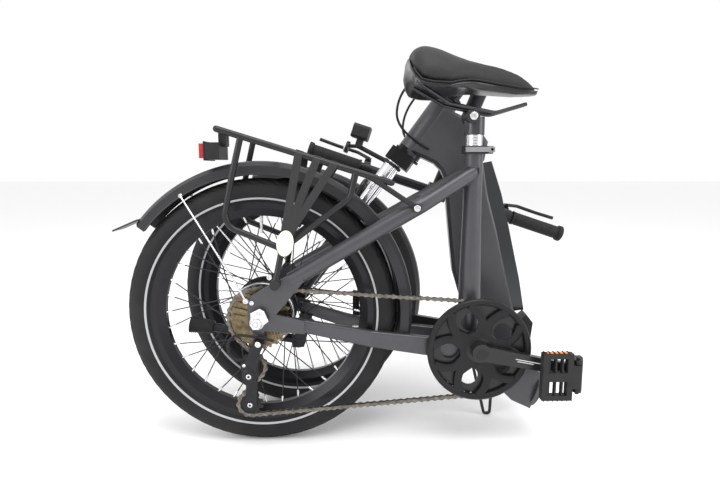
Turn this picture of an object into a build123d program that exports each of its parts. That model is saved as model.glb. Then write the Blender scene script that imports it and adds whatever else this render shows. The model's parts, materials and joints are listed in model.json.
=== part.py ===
from build123d import *
import math
import os

# Folding electric bicycle, stored folded. Millimetres, +X forward, +Y to the bicycle's left, +Z up.
# The rear half is drawn as it stands folded: seat tube upright, rear axle on the Y axis.
# The front half is drawn unfolded in riding axes (rear axle at the origin, wheels level),
# then turned about the frame hinge and tipped with the rear half.

# ---- overall layout ----
rest_tilt = 17.0            # nose-down angle of the folded bicycle
wheel_radius = 254.0        # outside of the tyre
tyre_width = 50.0
rim_seat_radius = 203.9
rim_inner_radius = 184.0
rim_width = 32.0
spoke_count = 36
hinge_x = 552.0             # frame hinge, riding axes
hinge_y = 50.0
fold_splay = 7.7            # angle left between the two wheel planes when folded
head_x = 935.0              # lower end of the head tube, riding axes
head_angle = 72.2
head_length = 140.0
fork_length = 386.5
fork_rake = 19.8
bb = (403.5, -61.0)         # crank axis, rear half
crank_length = 170.0
crank_angle = -11.3         # right crank below the forward direction
chainring_teeth = 44
cog_teeth = 28
jockey_teeth = 11
chain_pitch = 12.7
chain_y = -47.0
seat_tube_x = 395.0
seat_tube_top = 308.0
seatpost_radius = 15.0
running_fit = 0.05          # radial clearance of shafts in bores
gap = 0.5                   # clearance between pieces that move past each other

nodes = {}


# ---- shape helpers ----
def rod(start, end, radius, end_radius=None):
    """Straight round bar between two points, tapered when end_radius is given."""
    first = Vector(*start)
    last = Vector(*end)
    length = (last - first).length
    base = Plane(origin=first, z_dir=last - first)
    if end_radius is None:
        return extrude(base * Circle(radius), length)
    return loft([base * Circle(radius), base.offset(length) * Circle(end_radius)])


def pipe(points, radius, bends):
    """Round bar carried along straight runs joined by tangent arcs."""
    path = FilletPolyline(*points, radius=bends)
    return sweep(Plane(origin=path @ 0, z_dir=path % 0) * Circle(radius), path=path)


def drum(x, z, y0, y1, radius, bore=0.0):
    """Cylinder along Y."""
    face = Plane(origin=(x, y0, z), z_dir=(0, 1, 0)) * Circle(radius)
    solid = extrude(face, y1 - y0)
    if bore:
        solid -= extrude(Plane(origin=(x, y0, z), z_dir=(0, 1, 0)) * Circle(bore), y1 - y0)
    return solid


def slab(points, y0, y1):
    """Flat outline in X and Z carried along Y."""
    face = make_face(Polyline(*[(x, y0, z) for x, z in points], close=True))
    return extrude(face, y1 - y0, dir=(0, 1, 0))


def block(low, high):
    """Box between two corners."""
    size = [b - a for a, b in zip(low, high)]
    middle = [(a + b) / 2 for a, b in zip(low, high)]
    return Pos(*middle) * Box(*size)


def turned(profile, start=0.0, sweep_angle=360.0):
    """Profile of (radius, y) points turned about Y, from start degrees above +X."""
    face = make_face(Polyline(*[(r, y, 0) for r, y in profile], close=True))
    solid = revolve(face, Axis((0, 0, 0), (0, -1, 0)), sweep_angle)
    return solid.rotate(Axis.Y, -start)


def polar(x, z, radius, angle):
    """Point at an angle above +X round a centre."""
    return (x + radius * math.cos(math.radians(angle)), z + radius * math.sin(math.radians(angle)))


def ride(x, z):
    """Riding axes to the resting, tipped axes."""
    c = math.cos(math.radians(rest_tilt))
    s = math.sin(math.radians(rest_tilt))
    return (x * c + z * s, -x * s + z * c)


def ride_point(x, y, z):
    """Same, for a point in space."""
    px, pz = ride(x, z)
    return (px, y, pz)


# ---- fold ----
hinge_reach = head_x + fork_rake / math.sin(math.radians(head_angle)) \
    + (fork_length - fork_rake / math.tan(math.radians(head_angle))) * math.cos(math.radians(head_angle)) - hinge_x
folded_hub_x = hinge_x - hinge_reach * math.cos(math.radians(fold_splay)) \
    + hinge_y * math.sin(math.radians(fold_splay))
hinge_lean = 0.5 * math.degrees(math.asin(folded_hub_x * math.tan(math.radians(rest_tilt)) / hinge_reach))
hinge_dir = (math.sin(math.radians(hinge_lean)), 0, math.cos(math.radians(hinge_lean)))
hinge_axis = Axis((hinge_x, hinge_y, 0), hinge_dir)
fold_angle = 180.0 - fold_splay
tip_axis = Axis((0, 0, 0), (0, 1, 0))


def tip(shape):
    """Riding axes to resting axes."""
    return shape.rotate(tip_axis, rest_tilt)


def fold(shape):
    """Unfolded riding place to folded resting place, for the front half."""
    return tip(shape.rotate(hinge_axis, fold_angle))


# ---- wheels ----
tube_radius = tyre_width / 2
tube_centre = wheel_radius - tube_radius
tyre_wall = 3.5
rim_edge = rim_seat_radius + 8.0


def tyre():
    """Round casing, open towards the rim, with a solid tread."""
    section = Pos(tube_centre, 0) * Circle(tube_radius)
    section -= Pos(tube_centre, 0) * Circle(tube_radius - tyre_wall)
    section -= Pos(rim_seat_radius, 0) * Rectangle(8, 12)
    for side in (-1, 1):
        section -= Pos(rim_edge - 4.8, side * (rim_width / 2 + 2)) * Rectangle(10.4, 10)
    casing = max(section.faces(), key=lambda face: face.area)
    return revolve(casing, Axis.Y, 360)


def rim():
    """Deep rim section with two hooked edges."""
    half = rim_width / 2
    hook = 2.8
    return turned([
        (rim_inner_radius, -6), (rim_inner_radius, 6), (rim_inner_radius + 15, half - 0.5), (rim_edge, half),
        (rim_edge, half - hook), (rim_seat_radius, half - hook), (rim_seat_radius, hook - half),
        (rim_edge, hook - half), (rim_edge, -half), (rim_inner_radius + 15, 0.5 - half)])


def spokes(flange_radius, right_flange, left_flange):
    """Crossed spokes with a nipple at the rim, hub flange to rim."""
    solids = []
    lean = 38.0
    for index in range(spoke_count):
        rim_angle = 360.0 / spoke_count * index
        flange = left_flange if index % 2 else right_flange
        side = 1 if flange > 0 else -1
        turn = lean if index % 4 < 2 else -lean
        skew = 1.6 if index % 4 < 2 else -1.6
        hx, hz = polar(0, 0, flange_radius, rim_angle + turn)
        rx, rz = polar(0, 0, rim_inner_radius + 0.6, rim_angle)
        start = (hx, flange + skew, hz)
        end = (rx, side * 2.5, rz)
        solids.append(rod(start, end, 1.1))
        run = Vector(*end) - Vector(*start)
        step = run.normalized() * 11
        solids.append(rod(Vector(*end) - step, end, 2.1) - rod(start, end, 1.1))
    return solids


nodes["rear_tyre"] = [tyre()]
nodes["rear_rim"] = [rim()]
motor_radius = 61.0
nodes["rear_spokes"] = spokes(motor_radius - 4.0, -20.0, 34.0)

axle_radius = 5.0
stay_y = 62.0               # centre of the stay tubes at their rear ends
dropout_inner = 68.0        # inner face of the dropout plates
dropout_outer = 74.0
axle_end = 88.0
hub = turned([
    (axle_radius + running_fit, -30), (34, -30), (motor_radius - 10, -24), (motor_radius, -23.5),
    (motor_radius, -16.5), (motor_radius - 6, -16), (motor_radius - 6, 30), (motor_radius, 30.5),
    (motor_radius, 37.5), (motor_radius - 10, 38), (32, 47), (axle_radius + running_fit, 47)])
nodes["rear_hub_motor"] = [hub]

axle = drum(0, 0, -axle_end, axle_end, axle_radius)
for side in (-1, 1):
    start = side * dropout_outer
    nut = Plane(origin=(0, start, 0), z_dir=(0, side, 0)) * RegularPolygon(10, 6)
    axle += extrude(nut, 9)
    washer = Plane(origin=(0, start, 0), z_dir=(0, side, 0)) * Circle(13)
    axle += extrude(washer, 2)

# ---- cassette, chainring and chain ----


def pitch_radius(teeth):
    """Radius of the chain's pins round a sprocket."""
    return chain_pitch / 2 / math.sin(math.pi / teeth)


def sprocket(teeth, y0, y1, bore):
    """Toothed plate, tooth tips shortened so that they stay inside the chain's side plates."""
    root = pitch_radius(teeth) - 4.2
    top = pitch_radius(teeth) + 1.6
    points = []
    for index in range(teeth):
        for share, radius in ((0.12, root), (0.38, top), (0.62, top), (0.88, root)):
            points.append(polar(0, 0, radius, 360.0 / teeth * (index + share)))
    solid = slab(points, y0, y1)
    return solid - drum(0, 0, y0 - 1, y1 + 1, bore)


cassette_bore = 17.0
cog_step = 2.7              # from one cog to the next
cog_sizes = [28, 24, 22, 20, 18, 16, 14]
outer_y = chain_y - cog_step * (len(cog_sizes) - 1) - 1
cassette = drum(0, 0, outer_y - 1, chain_y + 9, cassette_bore + 0.5, axle_radius + running_fit)
for index, teeth in enumerate(cog_sizes):
    middle = chain_y - cog_step * index
    cassette += sprocket(teeth, middle - 1.0, middle + 1.0, cassette_bore)
nodes["cassette"] = [cassette]

guard_radius = 96.0
ring_bore = 24.0
ring = sprocket(chainring_teeth, chain_y - 1.2, chain_y + 1.2, ring_bore)
for index in range(5):
    wx, wz = polar(0, 0, 54, 72 * index + 36)
    ring -= drum(wx, wz, chain_y - 5, chain_y + 5, 17)
nodes["chainring"] = [Pos(bb[0], 0, bb[1]) * ring]

guard_y = chain_y - 4.0     # inner face of the guard's flange
guard = drum(0, 0, guard_y - 6, guard_y, guard_radius, guard_radius - 12)
guard += drum(0, 0, guard_y - 6, guard_y - 2, 44, ring_bore)
for index in range(5):
    spoke_angle = 72 * index + 90 + crank_angle
    inner = polar(0, 0, 36, spoke_angle)
    outer = polar(0, 0, guard_radius - 6, spoke_angle)
    guard += rod((inner[0], guard_y - 3.2, inner[1]), (outer[0], guard_y - 3.2, outer[1]), 2.7)
    fork_a = polar(0, 0, guard_radius - 6, spoke_angle + 22)
    fork_b = polar(0, 0, guard_radius - 6, spoke_angle - 22)
    guard += slab([inner, fork_a, polar(0, 0, 62, spoke_angle), fork_b], guard_y - 5, guard_y - 2)
nodes["chain_guard"] = [Pos(bb[0], 0, bb[1]) * guard]

upper_jockey = ride(14, -92)
lower_jockey = ride(28, -163)
jockey_radius = pitch_radius(jockey_teeth)


def tangent(first, second):
    """Tangent points of two circles (x, z, radius, sense), belt run from first to second."""
    x1, z1, r1, s1 = first
    x2, z2, r2, s2 = second
    dx = x2 - x1
    dz = z2 - z1
    distance = math.hypot(dx, dz)
    base = math.atan2(dz, dx)
    offset = math.acos((s1 * r1 - s2 * r2) / distance)
    angle = base + offset
    a = (x1 + s1 * r1 * math.cos(angle), z1 + s1 * r1 * math.sin(angle))
    b = (x2 + s2 * r2 * math.cos(angle), z2 + s2 * r2 * math.sin(angle))
    return a, b


def belt(circles, y):
    """Closed line of tangent runs and arcs round circles; sense 1 is clockwise."""
    count = len(circles)
    runs = [tangent(circles[i], circles[(i + 1) % count]) for i in range(count)]
    edges = []
    for i in range(count):
        a, b = runs[i]
        edges.append(Line((a[0], y, a[1]), (b[0], y, b[1])))
        x, z, radius, sense = circles[(i + 1) % count]
        after = runs[(i + 1) % count][0]
        start = math.atan2(b[1] - z, b[0] - x)
        end = math.atan2(after[1] - z, after[0] - x)
        turn = (start - end) if sense > 0 else (end - start)
        turn %= 2 * math.pi
        middle = start - sense * turn / 2
        mid = (x + radius * math.cos(middle), z + radius * math.sin(middle))
        edges.append(ThreePointArc((b[0], y, b[1]), (mid[0], y, mid[1]), (after[0], y, after[1])))
    return Wire([edge.edge() for edge in edges])


chain_half = 4.2
chain_circles = [
    (0.0, 0.0, pitch_radius(cog_teeth), 1), (bb[0], bb[1], pitch_radius(chainring_teeth), 1),
    (lower_jockey[0], lower_jockey[1], jockey_radius, 1), (upper_jockey[0], upper_jockey[1], jockey_radius, -1)]


def chain_band(y0, y1, half):
    """Strip of the chain between two planes."""
    outside = [(x, z, r + s * half, s) for x, z, r, s in chain_circles]
    inside = [(x, z, r - s * half, s) for x, z, r, s in chain_circles]
    outer = extrude(make_face(belt(outside, y0)), y1 - y0, dir=(0, 1, 0))
    inner = extrude(make_face(belt(inside, y0)), y1 - y0, dir=(0, 1, 0))
    return outer - inner


nodes["chain"] = [chain_band(chain_y - 3.2, chain_y - 1.8, chain_half),
                  chain_band(chain_y + 1.8, chain_y + 3.2, chain_half)]

for name, place in (("upper_jockey_wheel", upper_jockey), ("lower_jockey_wheel", lower_jockey)):
    wheel = sprocket(jockey_teeth, chain_y - 1.2, chain_y + 1.2, 2.5 + running_fit)
    wheel += drum(0, 0, chain_y - 3.0, chain_y + 3.0, 7, 2.5 + running_fit)
    nodes[name] = [Pos(place[0], 0, place[1]) * wheel]

# ---- derailleur: arm on the dropout, body, cage plates and pulley bolts ----
cage_inner = chain_y + 4.4
cage_outer = chain_y - 4.4
ux, uz = upper_jockey
lx, lz = lower_jockey
cage_side = [(ux - 11, uz + 6), (ux + 10, uz + 6), (lx + 12, lz - 4), (lx + 4, lz - 13), (lx - 10, lz - 8)]
cage = slab(cage_side, cage_outer - 1.8, cage_outer)
cage += slab(cage_side, cage_inner, cage_inner + 1.8)
for x, z in (upper_jockey, lower_jockey):
    cage += drum(x, z, cage_outer - 4, cage_inner + 3, 2.5)
arm_y = -dropout_outer
hanger = slab([(-9, -8), (11, -8), (14, -38), (4, -46), (-8, -36)], arm_y, -dropout_inner)
arm = rod((4, arm_y - 10, -34), (4, arm_y - 0.1, -34), 9)
arm += slab([(-4, -28), (14, -34), (ux + 12, uz + 22), (ux - 10, uz + 16)], arm_y - 18, arm_y - 8)
arm += slab([(ux - 14, uz + 26), (ux + 14, uz + 26), (ux + 12, uz - 12), (ux - 12, uz - 12)],
            arm_y - 18, cage_outer - 1.8)
nodes["derailleur"] = [arm + cage]

# ---- rear frame: seat tube, crank shell, stays, dropouts, hinge lug ----
upper_tube_radius = 17.2
lower_tube_radius = 23.0
shell_radius = 22.0
shell_half = 34.0
spindle_radius = 9.0
tube_foot = bb[1] + 6
envelope = rod((seat_tube_x, 0, tube_foot), (seat_tube_x, 0, 200), lower_tube_radius, upper_tube_radius)
envelope += rod((seat_tube_x, 0, 200), (seat_tube_x, 0, seat_tube_top), upper_tube_radius)
envelope += drum(bb[0], bb[1], -shell_half, shell_half, shell_radius)
flange_back = 10.0
flange_radius = 39.0
flange_z = 5.0
lug_outline = [(412, 84), (470, 66), (hinge_x - 6, flange_z + 36), (hinge_x - 6, flange_z - 36), (505, -25),
               (455, 2), (415, 38)]
lug = slab([ride(x, z) for x, z in lug_outline], -27, 27)
flange_plane = Plane(origin=(hinge_x, 0, 0), x_dir=(0, 1, 0), z_dir=(hinge_dir[2], 0, -hinge_dir[0]))


def hinge_plate(x0, x1):
    """Round hinge flange between two distances ahead of the hinge plane, riding axes."""
    face = flange_plane.offset(x0) * Pos(3, flange_z) * Circle(flange_radius)
    return extrude(face, x1 - x0)


knuckle_radius = 7.4
knuckle_cuts = (-27.0, -10.0, 20.0, 37.0)
pin_radius = 3.5


def knuckle(z0, z1, side):
    """Hinge knuckle with its web to the flange on one side of the hinge plane."""
    lean = hinge_dir[0] / hinge_dir[2]
    solid = rod((hinge_x + z0 * lean, hinge_y, z0), (hinge_x + z1 * lean, hinge_y, z1), knuckle_radius)
    x0, x1 = sorted((hinge_x + side * 0.8, hinge_x + side * flange_back))
    solid += block((x0, 34, z0), (x1, hinge_y, z1)) - rod(
        (hinge_x + (z0 - 9) * lean, hinge_y, z0 - 9), (hinge_x + (z1 + 9) * lean, hinge_y, z1 + 9), pin_radius)
    bore = rod((hinge_x + (z0 - 9) * lean, hinge_y, z0 - 9), (hinge_x + (z1 + 9) * lean, hinge_y, z1 + 9),
               pin_radius + running_fit)
    return solid - bore


rear_plate = hinge_plate(-flange_back, -0.3)
for z0, z1 in ((knuckle_cuts[0], knuckle_cuts[1]), (knuckle_cuts[2], knuckle_cuts[3])):
    rear_plate += knuckle(z0, z1, -1)
lug += tip(rear_plate)
seat_tube = envelope + lug
seat_tube -= rod((seat_tube_x, 0, bb[1] + 40), (seat_tube_x, 0, seat_tube_top + 1), seatpost_radius + running_fit)
seat_tube -= drum(bb[0], bb[1], -shell_half - 1, shell_half + 1, spindle_radius + running_fit)
nodes["seat_tube"] = [seat_tube]

lean_ratio = hinge_dir[0] / hinge_dir[2]
pin_low = knuckle_cuts[0] - 3
pin_high = knuckle_cuts[3] + 3
nodes["hinge_pin"] = [tip(rod((hinge_x + pin_low * lean_ratio, hinge_y, pin_low),
                              (hinge_x + pin_high * lean_ratio, hinge_y, pin_high), pin_radius))]

stay_radius = 14.5
chainstay_width = 14.0


def chainstay(side):
    """Lower stay: rounded rectangle, outboard at the wheel's axle, inboard of the chainring."""
    sections = []
    for x, y, z, height in ((62, stay_y, -6, 24), (205, 35, -44, 32), (376, 35, -67, 40)):
        plane = Plane(origin=(x, side * y, z), x_dir=(0, 1, 0), z_dir=(1, 0, 0))
        sections.append(plane * RectangleRounded(chainstay_width, height, 5))
    return loft(sections, ruled=True)


stays = Part()
for side in (-1, 1):
    stays += pipe([(60, side * stay_y, 73.4), (292, side * 48, 206), (seat_tube_x - 2, side * 6, 264)],
                  stay_radius, [50])
    stays += chainstay(side)
    near, far = sorted((side * dropout_inner, side * dropout_outer))
    stays += slab([(-16, -14), (12, -16), (84, -22), (84, 2), (34, 14), (84, 74), (72, 92), (10, 60), (-16, 44)],
                  near, far)
bridge_x = 300.0
bridge_z = 210.0
stays += rod((bridge_x, -50, bridge_z), (bridge_x, 50, bridge_z), 9)
stays -= envelope
stays -= drum(0, 0, -100, 100, axle_radius + 0.1)
stays -= turned([(245, -28), (258, -28), (258, 28), (245, 28)])
stays += hanger
eyelet_x, eyelet_z = -8.0, 36.0
eyelet_radius = 2.5
stays -= drum(eyelet_x, eyelet_z, -100, 0, eyelet_radius)
nodes["rear_stays"] = stays.solids()

nodes["rear_axle"] = [axle]

# ---- rear mudguard and its stays ----
guard_outer = 285.0
guard_half = 28.0


def mudguard(outer, start, span):
    """Arched strip over a tyre, 2 mm thick, round crown and short skirts."""
    crown = 16.0
    inner = outer - 2
    skirt = outer - 24
    return turned([
        (skirt, -guard_half), (outer - 9, -guard_half), (outer - 2, -crown), (outer, 0), (outer - 2, crown),
        (outer - 9, guard_half), (skirt, guard_half), (skirt, guard_half - 2), (inner - 9, guard_half - 2),
        (inner - 2, crown - 1), (inner, 0), (inner - 2, 1 - crown), (inner - 9, 2 - guard_half),
        (skirt, 2 - guard_half)], start, span)


rear_guard = mudguard(guard_outer, -13, 156)
flap_start = polar(0, 0, guard_outer, 141)
tail_tip = (-266.0, 160.0)
rear_guard += slab([flap_start, polar(0, 0, guard_outer - 3, 141), (tail_tip[0], tail_tip[1] - 3), tail_tip],
                   -guard_half + 2, guard_half - 2)
rear_guard -= rod((bridge_x, -60, bridge_z), (bridge_x, 60, bridge_z), 9.3)
nodes["rear_mudguard"] = [rear_guard]

rack_top = 305.0
rack_rear = -159.0
rack_front = 156.0
rack_half = 60.0
rail_radius = 5.6
stay_rods = []
for side in (-1, 1):
    anchor = polar(0, 0, 262, 122)
    wire = pipe([(anchor[0], side * (guard_half + 2.1), anchor[1]), (-34, side * (dropout_outer + 2), 70),
                 (eyelet_x - 10, side * (dropout_outer + 3.4), eyelet_z + 4)], 1.8, [12])
    near, far = sorted((side * (dropout_outer + 0.2), side * (dropout_outer + 5)))
    stay_rods.append(wire + drum(eyelet_x - 10, eyelet_z + 4, near, far, 5))
nodes["mudguard_stays"] = stay_rods

# ---- luggage rack ----
rack = Part()
for side in (-1, 1):
    rack += rod(ride_point(rack_front, side * rack_half, rack_top), ride_point(rack_rear, side * rack_half, rack_top),
                rail_radius)
for x in (rack_front, rack_rear):
    rack += rod(ride_point(x, -rack_half, rack_top), ride_point(x, rack_half, rack_top), rail_radius)
    for side in (-1, 1):
        rack += Pos(*ride_point(x, side * rack_half, rack_top)) * Sphere(rail_radius)
for x in (-60, 40):
    rack += rod(ride_point(x, -rack_half, rack_top), ride_point(x, rack_half, rack_top), 4)
for side in (-1, 1):
    rear_leg = [ride_point(-116, side * rack_half, rack_top), ride_point(-112, side * 62, 232),
                ride_point(-104, side * 66, 150), ride_point(6, side * 72, 140),
                ride_point(13, side * 86, 78)]
    rack += pipe(rear_leg, rail_radius, [30, 30, 14])
    front_leg = [ride_point(91, side * rack_half, rack_top), ride_point(94, side * 62, 258),
                 ride_point(8, side * 72, 142)]
    rack += pipe(front_leg, rail_radius, [25])
    rack += rod(ride_point(114, side * rack_half, rack_top), ride_point(211, side * 66, 276), 4.5)
    foot_x, foot_z = ride(13, 78)
    near, far = sorted((side * (dropout_outer + 0.1), side * 92))
    rack += drum(foot_x, foot_z, near, far, 9)
    tab_x, tab_z = ride(211, 276)
    near, far = sorted((side * 50, side * 72))
    rack += drum(tab_x, tab_z, near, far, 8)
rack -= stays
nodes["luggage_rack"] = rack.solids()

straps = []
for index, x in enumerate((-12, 20, 50)):
    for side in (-1, 1):
        top = ride_point(x, side * (rack_half + 7.4), rack_top - 4)
        low = ride_point(4 + index * 3, side * 81.5, 165)
        straps.append(rod(top, low, 2.6))
nodes["elastic_straps"] = straps

# ---- tail light on a bracket under the rear of the rack ----
light_x, light_z = ride(-172, 262)
body = block((light_x - 4, -34, light_z - 14), (light_x + 22, 34, light_z + 16))
body += block((light_x + 16, -12, light_z + 10), (light_x + 30, 12, light_z + 40))
nodes["tail_light"] = [body - tip(rod((rack_rear, -40, rack_top), (rack_rear, 40, rack_top), rail_radius + 0.1))]
nodes["tail_light_lens"] = [block((light_x - 14, -32, light_z - 12), (light_x - 4, 32, light_z + 14))]

# ---- seat collar and lever ----
collar_z0 = seat_tube_top - 10
collar_z1 = seat_tube_top + 4
collar = rod((seat_tube_x, 0, collar_z0), (seat_tube_x, 0, collar_z1), upper_tube_radius + 5)
collar += block((seat_tube_x + 14, -8, collar_z0), (seat_tube_x + 34, 8, collar_z1))
collar -= block((seat_tube_x + 12, -1.5, collar_z0 - 1), (seat_tube_x + 40, 1.5, collar_z1 + 1))
collar -= rod((seat_tube_x, 0, collar_z0 - 1), (seat_tube_x, 0, seat_tube_top + 0.1), upper_tube_radius + 0.05)
collar -= rod((seat_tube_x, 0, collar_z0), (seat_tube_x, 0, collar_z1 + 1), seatpost_radius + running_fit)
skewer_x = seat_tube_x + 27
skewer_z = (collar_z0 + collar_z1) / 2
collar += rod((skewer_x, -16, skewer_z), (skewer_x, 17, skewer_z), 2.5)
nodes["seat_collar"] = [collar]
lever = rod((skewer_x, -10, skewer_z), (skewer_x, -22, skewer_z), 6.5)
lever += block((skewer_x - 48, -28, skewer_z - 4.5), (skewer_x + 5, -22, skewer_z + 4.5))
lever -= rod((skewer_x, -30, skewer_z), (skewer_x, 0, skewer_z), 2.5 + running_fit)
nodes["seat_clamp_lever"] = [lever - rod((seat_tube_x, 0, 280), (seat_tube_x, 0, 330), 22.8)]

# ---- seatpost and saddle ----
saddle_clamp_z = 362.0
post = rod((seat_tube_x, 0, 60), (seat_tube_x, 0, saddle_clamp_z - 6), seatpost_radius)
nodes["seatpost"] = [post]
clamp = drum(seat_tube_x - 8, saddle_clamp_z + 2, -24, 24, 12)
clamp += rod((seat_tube_x, 0, saddle_clamp_z - 30), (seat_tube_x, 0, saddle_clamp_z + 2), 18.5)
clamp -= rod((seat_tube_x, 0, saddle_clamp_z - 31), (seat_tube_x, 0, saddle_clamp_z - 6), seatpost_radius)
for side in (-1, 1):
    clamp += pipe([ride_point(150, side * 34, 486), ride_point(215, side * 22, 470),
                   ride_point(300, side * 22, 478), ride_point(352, side * 8, 512)], 3.5, [30, 30])
nodes["saddle_rails"] = [clamp]
shell_outline = [(124, 492), (150, 480), (240, 492), (330, 506), (364, 530), (366, 540), (300, 524), (200, 512),
                 (130, 506)]
shell_shape = slab([ride(x, z) for x, z in shell_outline], -92, 92)


def saddle_plan(z0, z1, grow):
    """Saddle seen from above: wide rear, narrow nose, riding axes."""
    rear, nose = 122 - grow, 366 + grow
    outline = [(rear, -58), (rear + 22, -88 - grow), (rear + 78, -84 - grow), (rear + 130, -38 - grow),
               (nose - 40, -24 - grow), (nose, -12), (nose, 12), (nose - 40, 24 + grow),
               (rear + 130, 38 + grow), (rear + 78, 84 + grow), (rear + 22, 88 + grow), (rear, 58)]
    return extrude(make_face(Polyline(*[(x, y, z0) for x, y in outline], close=True)), z1 - z0, dir=(0, 0, 1))


plan = tip(saddle_plan(460, 570, 0))
saddle_shell = shell_shape & plan
for side in (-1, 1):
    saddle_shell -= pipe([ride_point(150, side * 34, 486), ride_point(215, side * 22, 470),
                          ride_point(300, side * 22, 478), ride_point(352, side * 8, 512)], 3.55, [30, 30])
nodes["saddle_shell"] = saddle_shell.solids()
pad_outline = [(122, 506.5), (200, 512.5), (300, 524.5), (366, 540.5), (366, 547), (340, 552), (276, 556), (220, 549),
               (170, 553), (138, 550), (122, 534)]
pad = slab([ride(x, z) for x, z in pad_outline], -92, 92) & plan
nodes["saddle_pad"] = [pad]

# ---- crank set and folding pedals ----
arm_inner = 61.5
arm_outer = 74.0
spindle = drum(bb[0], bb[1], -arm_outer, arm_outer, spindle_radius)
nodes["crank_spindle"] = [spindle]
pedal_half = 43.0
pedal_y = 95.0
pedal_reach = 66.0
for side, name in ((-1, "right"), (1, "left")):
    angle = crank_angle + (0 if side < 0 else 180)
    px, pz = polar(bb[0], bb[1], crank_length, angle)
    inner, outer = sorted((side * arm_inner, side * arm_outer))
    arm = drum(bb[0], bb[1], inner, outer, 17, spindle_radius)
    arm += drum(px, pz, inner, outer, 12)
    across = (math.sin(math.radians(angle)), -math.cos(math.radians(angle)))
    root = polar(bb[0], bb[1], 10, angle)
    arm += slab([(root[0] + across[0] * 14, root[1] + across[1] * 14), (px + across[0] * 11, pz + across[1] * 11),
                 (px - across[0] * 11, pz - across[1] * 11), (root[0] - across[0] * 14, root[1] - across[1] * 14)],
                inner, outer) - drum(bb[0], bb[1], inner, outer, spindle_radius)
    if side < 0:
        arm += drum(bb[0], bb[1], chain_y - 10, -36.2, ring_bore - 0.1, spindle_radius)
        arm += drum(bb[0], bb[1], -arm_inner, chain_y - 8, 17, spindle_radius)
    arm += drum(px, pz, *sorted((side * arm_outer, side * 84)), 5)
    nodes[name + "_crank"] = [arm]
    facing = -1      # folded platforms point to the rear, flat beside the cranks
    near, far = sorted((side * 74.6, side * 86.4))
    hub_block = block((px - 12, near, pz - 30), (px + 12, far, pz + 30))
    hub_block -= drum(px, pz, *sorted((side * 70, side * 84.3)), 5 + running_fit)
    near, far = sorted((side * 85, side * pedal_y))
    for z in (-26, 26):
        hub_block += rod((px, side * pedal_y, pz + z - 4), (px, side * pedal_y, pz + z + 4), 8)
        hub_block += block((px - 6, near, pz + z - 4), (px + 6, far, pz + z + 4))
    hub_block += rod((px, side * pedal_y, pz - 34), (px, side * pedal_y, pz + 34), 3.5)
    nodes[name + "_pedal_hub"] = [hub_block]
    near, far = sorted((side * (pedal_y - 4), side * (pedal_y + 10)))
    x0, x1 = sorted((px + facing * pedal_reach, px + facing * 12))
    platform = block((x0, near, pz - pedal_half), (x1, far, pz + pedal_half))
    x0, x1 = sorted((px + facing * (pedal_reach - 10), px + facing * 22))
    for z0, z1 in ((-34, -8), (8, 34)):
        platform -= block((x0, near - 1, pz + z0), (x1, far + 1, pz + z1))
    x0, x1 = sorted((px + facing * 14, px))
    platform += block((x0, near, pz - 21), (x1, far, pz + 21))
    platform += rod((px, side * pedal_y, pz - 21), (px, side * pedal_y, pz + 21), 8)
    platform -= rod((px, side * pedal_y, pz - 50), (px, side * pedal_y, pz + 50), 3.5 + running_fit)
    for z0, z1 in ((-36, -21.4), (21.4, 36)):
        platform -= rod((px, side * pedal_y, pz + z0), (px, side * pedal_y, pz + z1), 9)
    near, far = sorted((side * 70, side * (pedal_y - 7.6)))
    platform -= block((px - 30, near, pz - 60), (px + 30, far, pz + 60))
    nodes[name + "_pedal_body"] = [platform]

# ---- kickstand on a bracket behind the left chainstay ----
stand_pivot = ride(80, -58)
stand_foot = ride(-142, -90)
stand_y = 66.0
stand_gap = 0.6
bracket = drum(stand_pivot[0], stand_pivot[1], stand_y - 20, stand_y + 13, 5)
bracket += slab([(stand_pivot[0] - 12, stand_pivot[1] - 10), (stand_pivot[0] + 12, stand_pivot[1] - 10),
                 (stand_pivot[0] + 30, stand_pivot[1] + 56), (stand_pivot[0] + 6, stand_pivot[1] + 62)],
                stand_y - 20, stand_y - 9.6)
nodes["kickstand_bracket"] = [bracket - stays]
run = Vector(stand_foot[0] - stand_pivot[0], 0, stand_foot[1] - stand_pivot[1])
foot_start = Vector(stand_pivot[0], stand_y, stand_pivot[1]) + run * 0.78
stand = drum(stand_pivot[0], stand_pivot[1], stand_y - 9, stand_y + 9, 15)
stand += rod((stand_pivot[0], stand_y, stand_pivot[1]), foot_start + run * 0.1, 9)
stand -= drum(stand_pivot[0], stand_pivot[1], 0, 100, 5 + running_fit)
nodes["kickstand_leg"] = [stand]
foot = rod(foot_start, Vector(stand_foot[0], stand_y, stand_foot[1]), 13, 17)
nodes["kickstand_foot"] = [foot - rod((stand_pivot[0], stand_y, stand_pivot[1]), foot_start + run * 0.1, 9)]

# ---- front frame, riding axes ----
head_z = fork_length * math.sin(math.radians(head_angle)) - fork_rake * math.cos(math.radians(head_angle))
up = (-math.cos(math.radians(head_angle)), 0.0, math.sin(math.radians(head_angle)))
ahead = (up[2], 0.0, -up[0])
steer_plane = Plane(origin=(head_x, 0, head_z), x_dir=ahead, z_dir=up)
head_radius = 27.0
steerer_radius = 14.3


def steer(shape):
    """Steering axes (X ahead, Z up the head tube, origin at its lower end) to riding axes."""
    return steer_plane.location * shape


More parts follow.
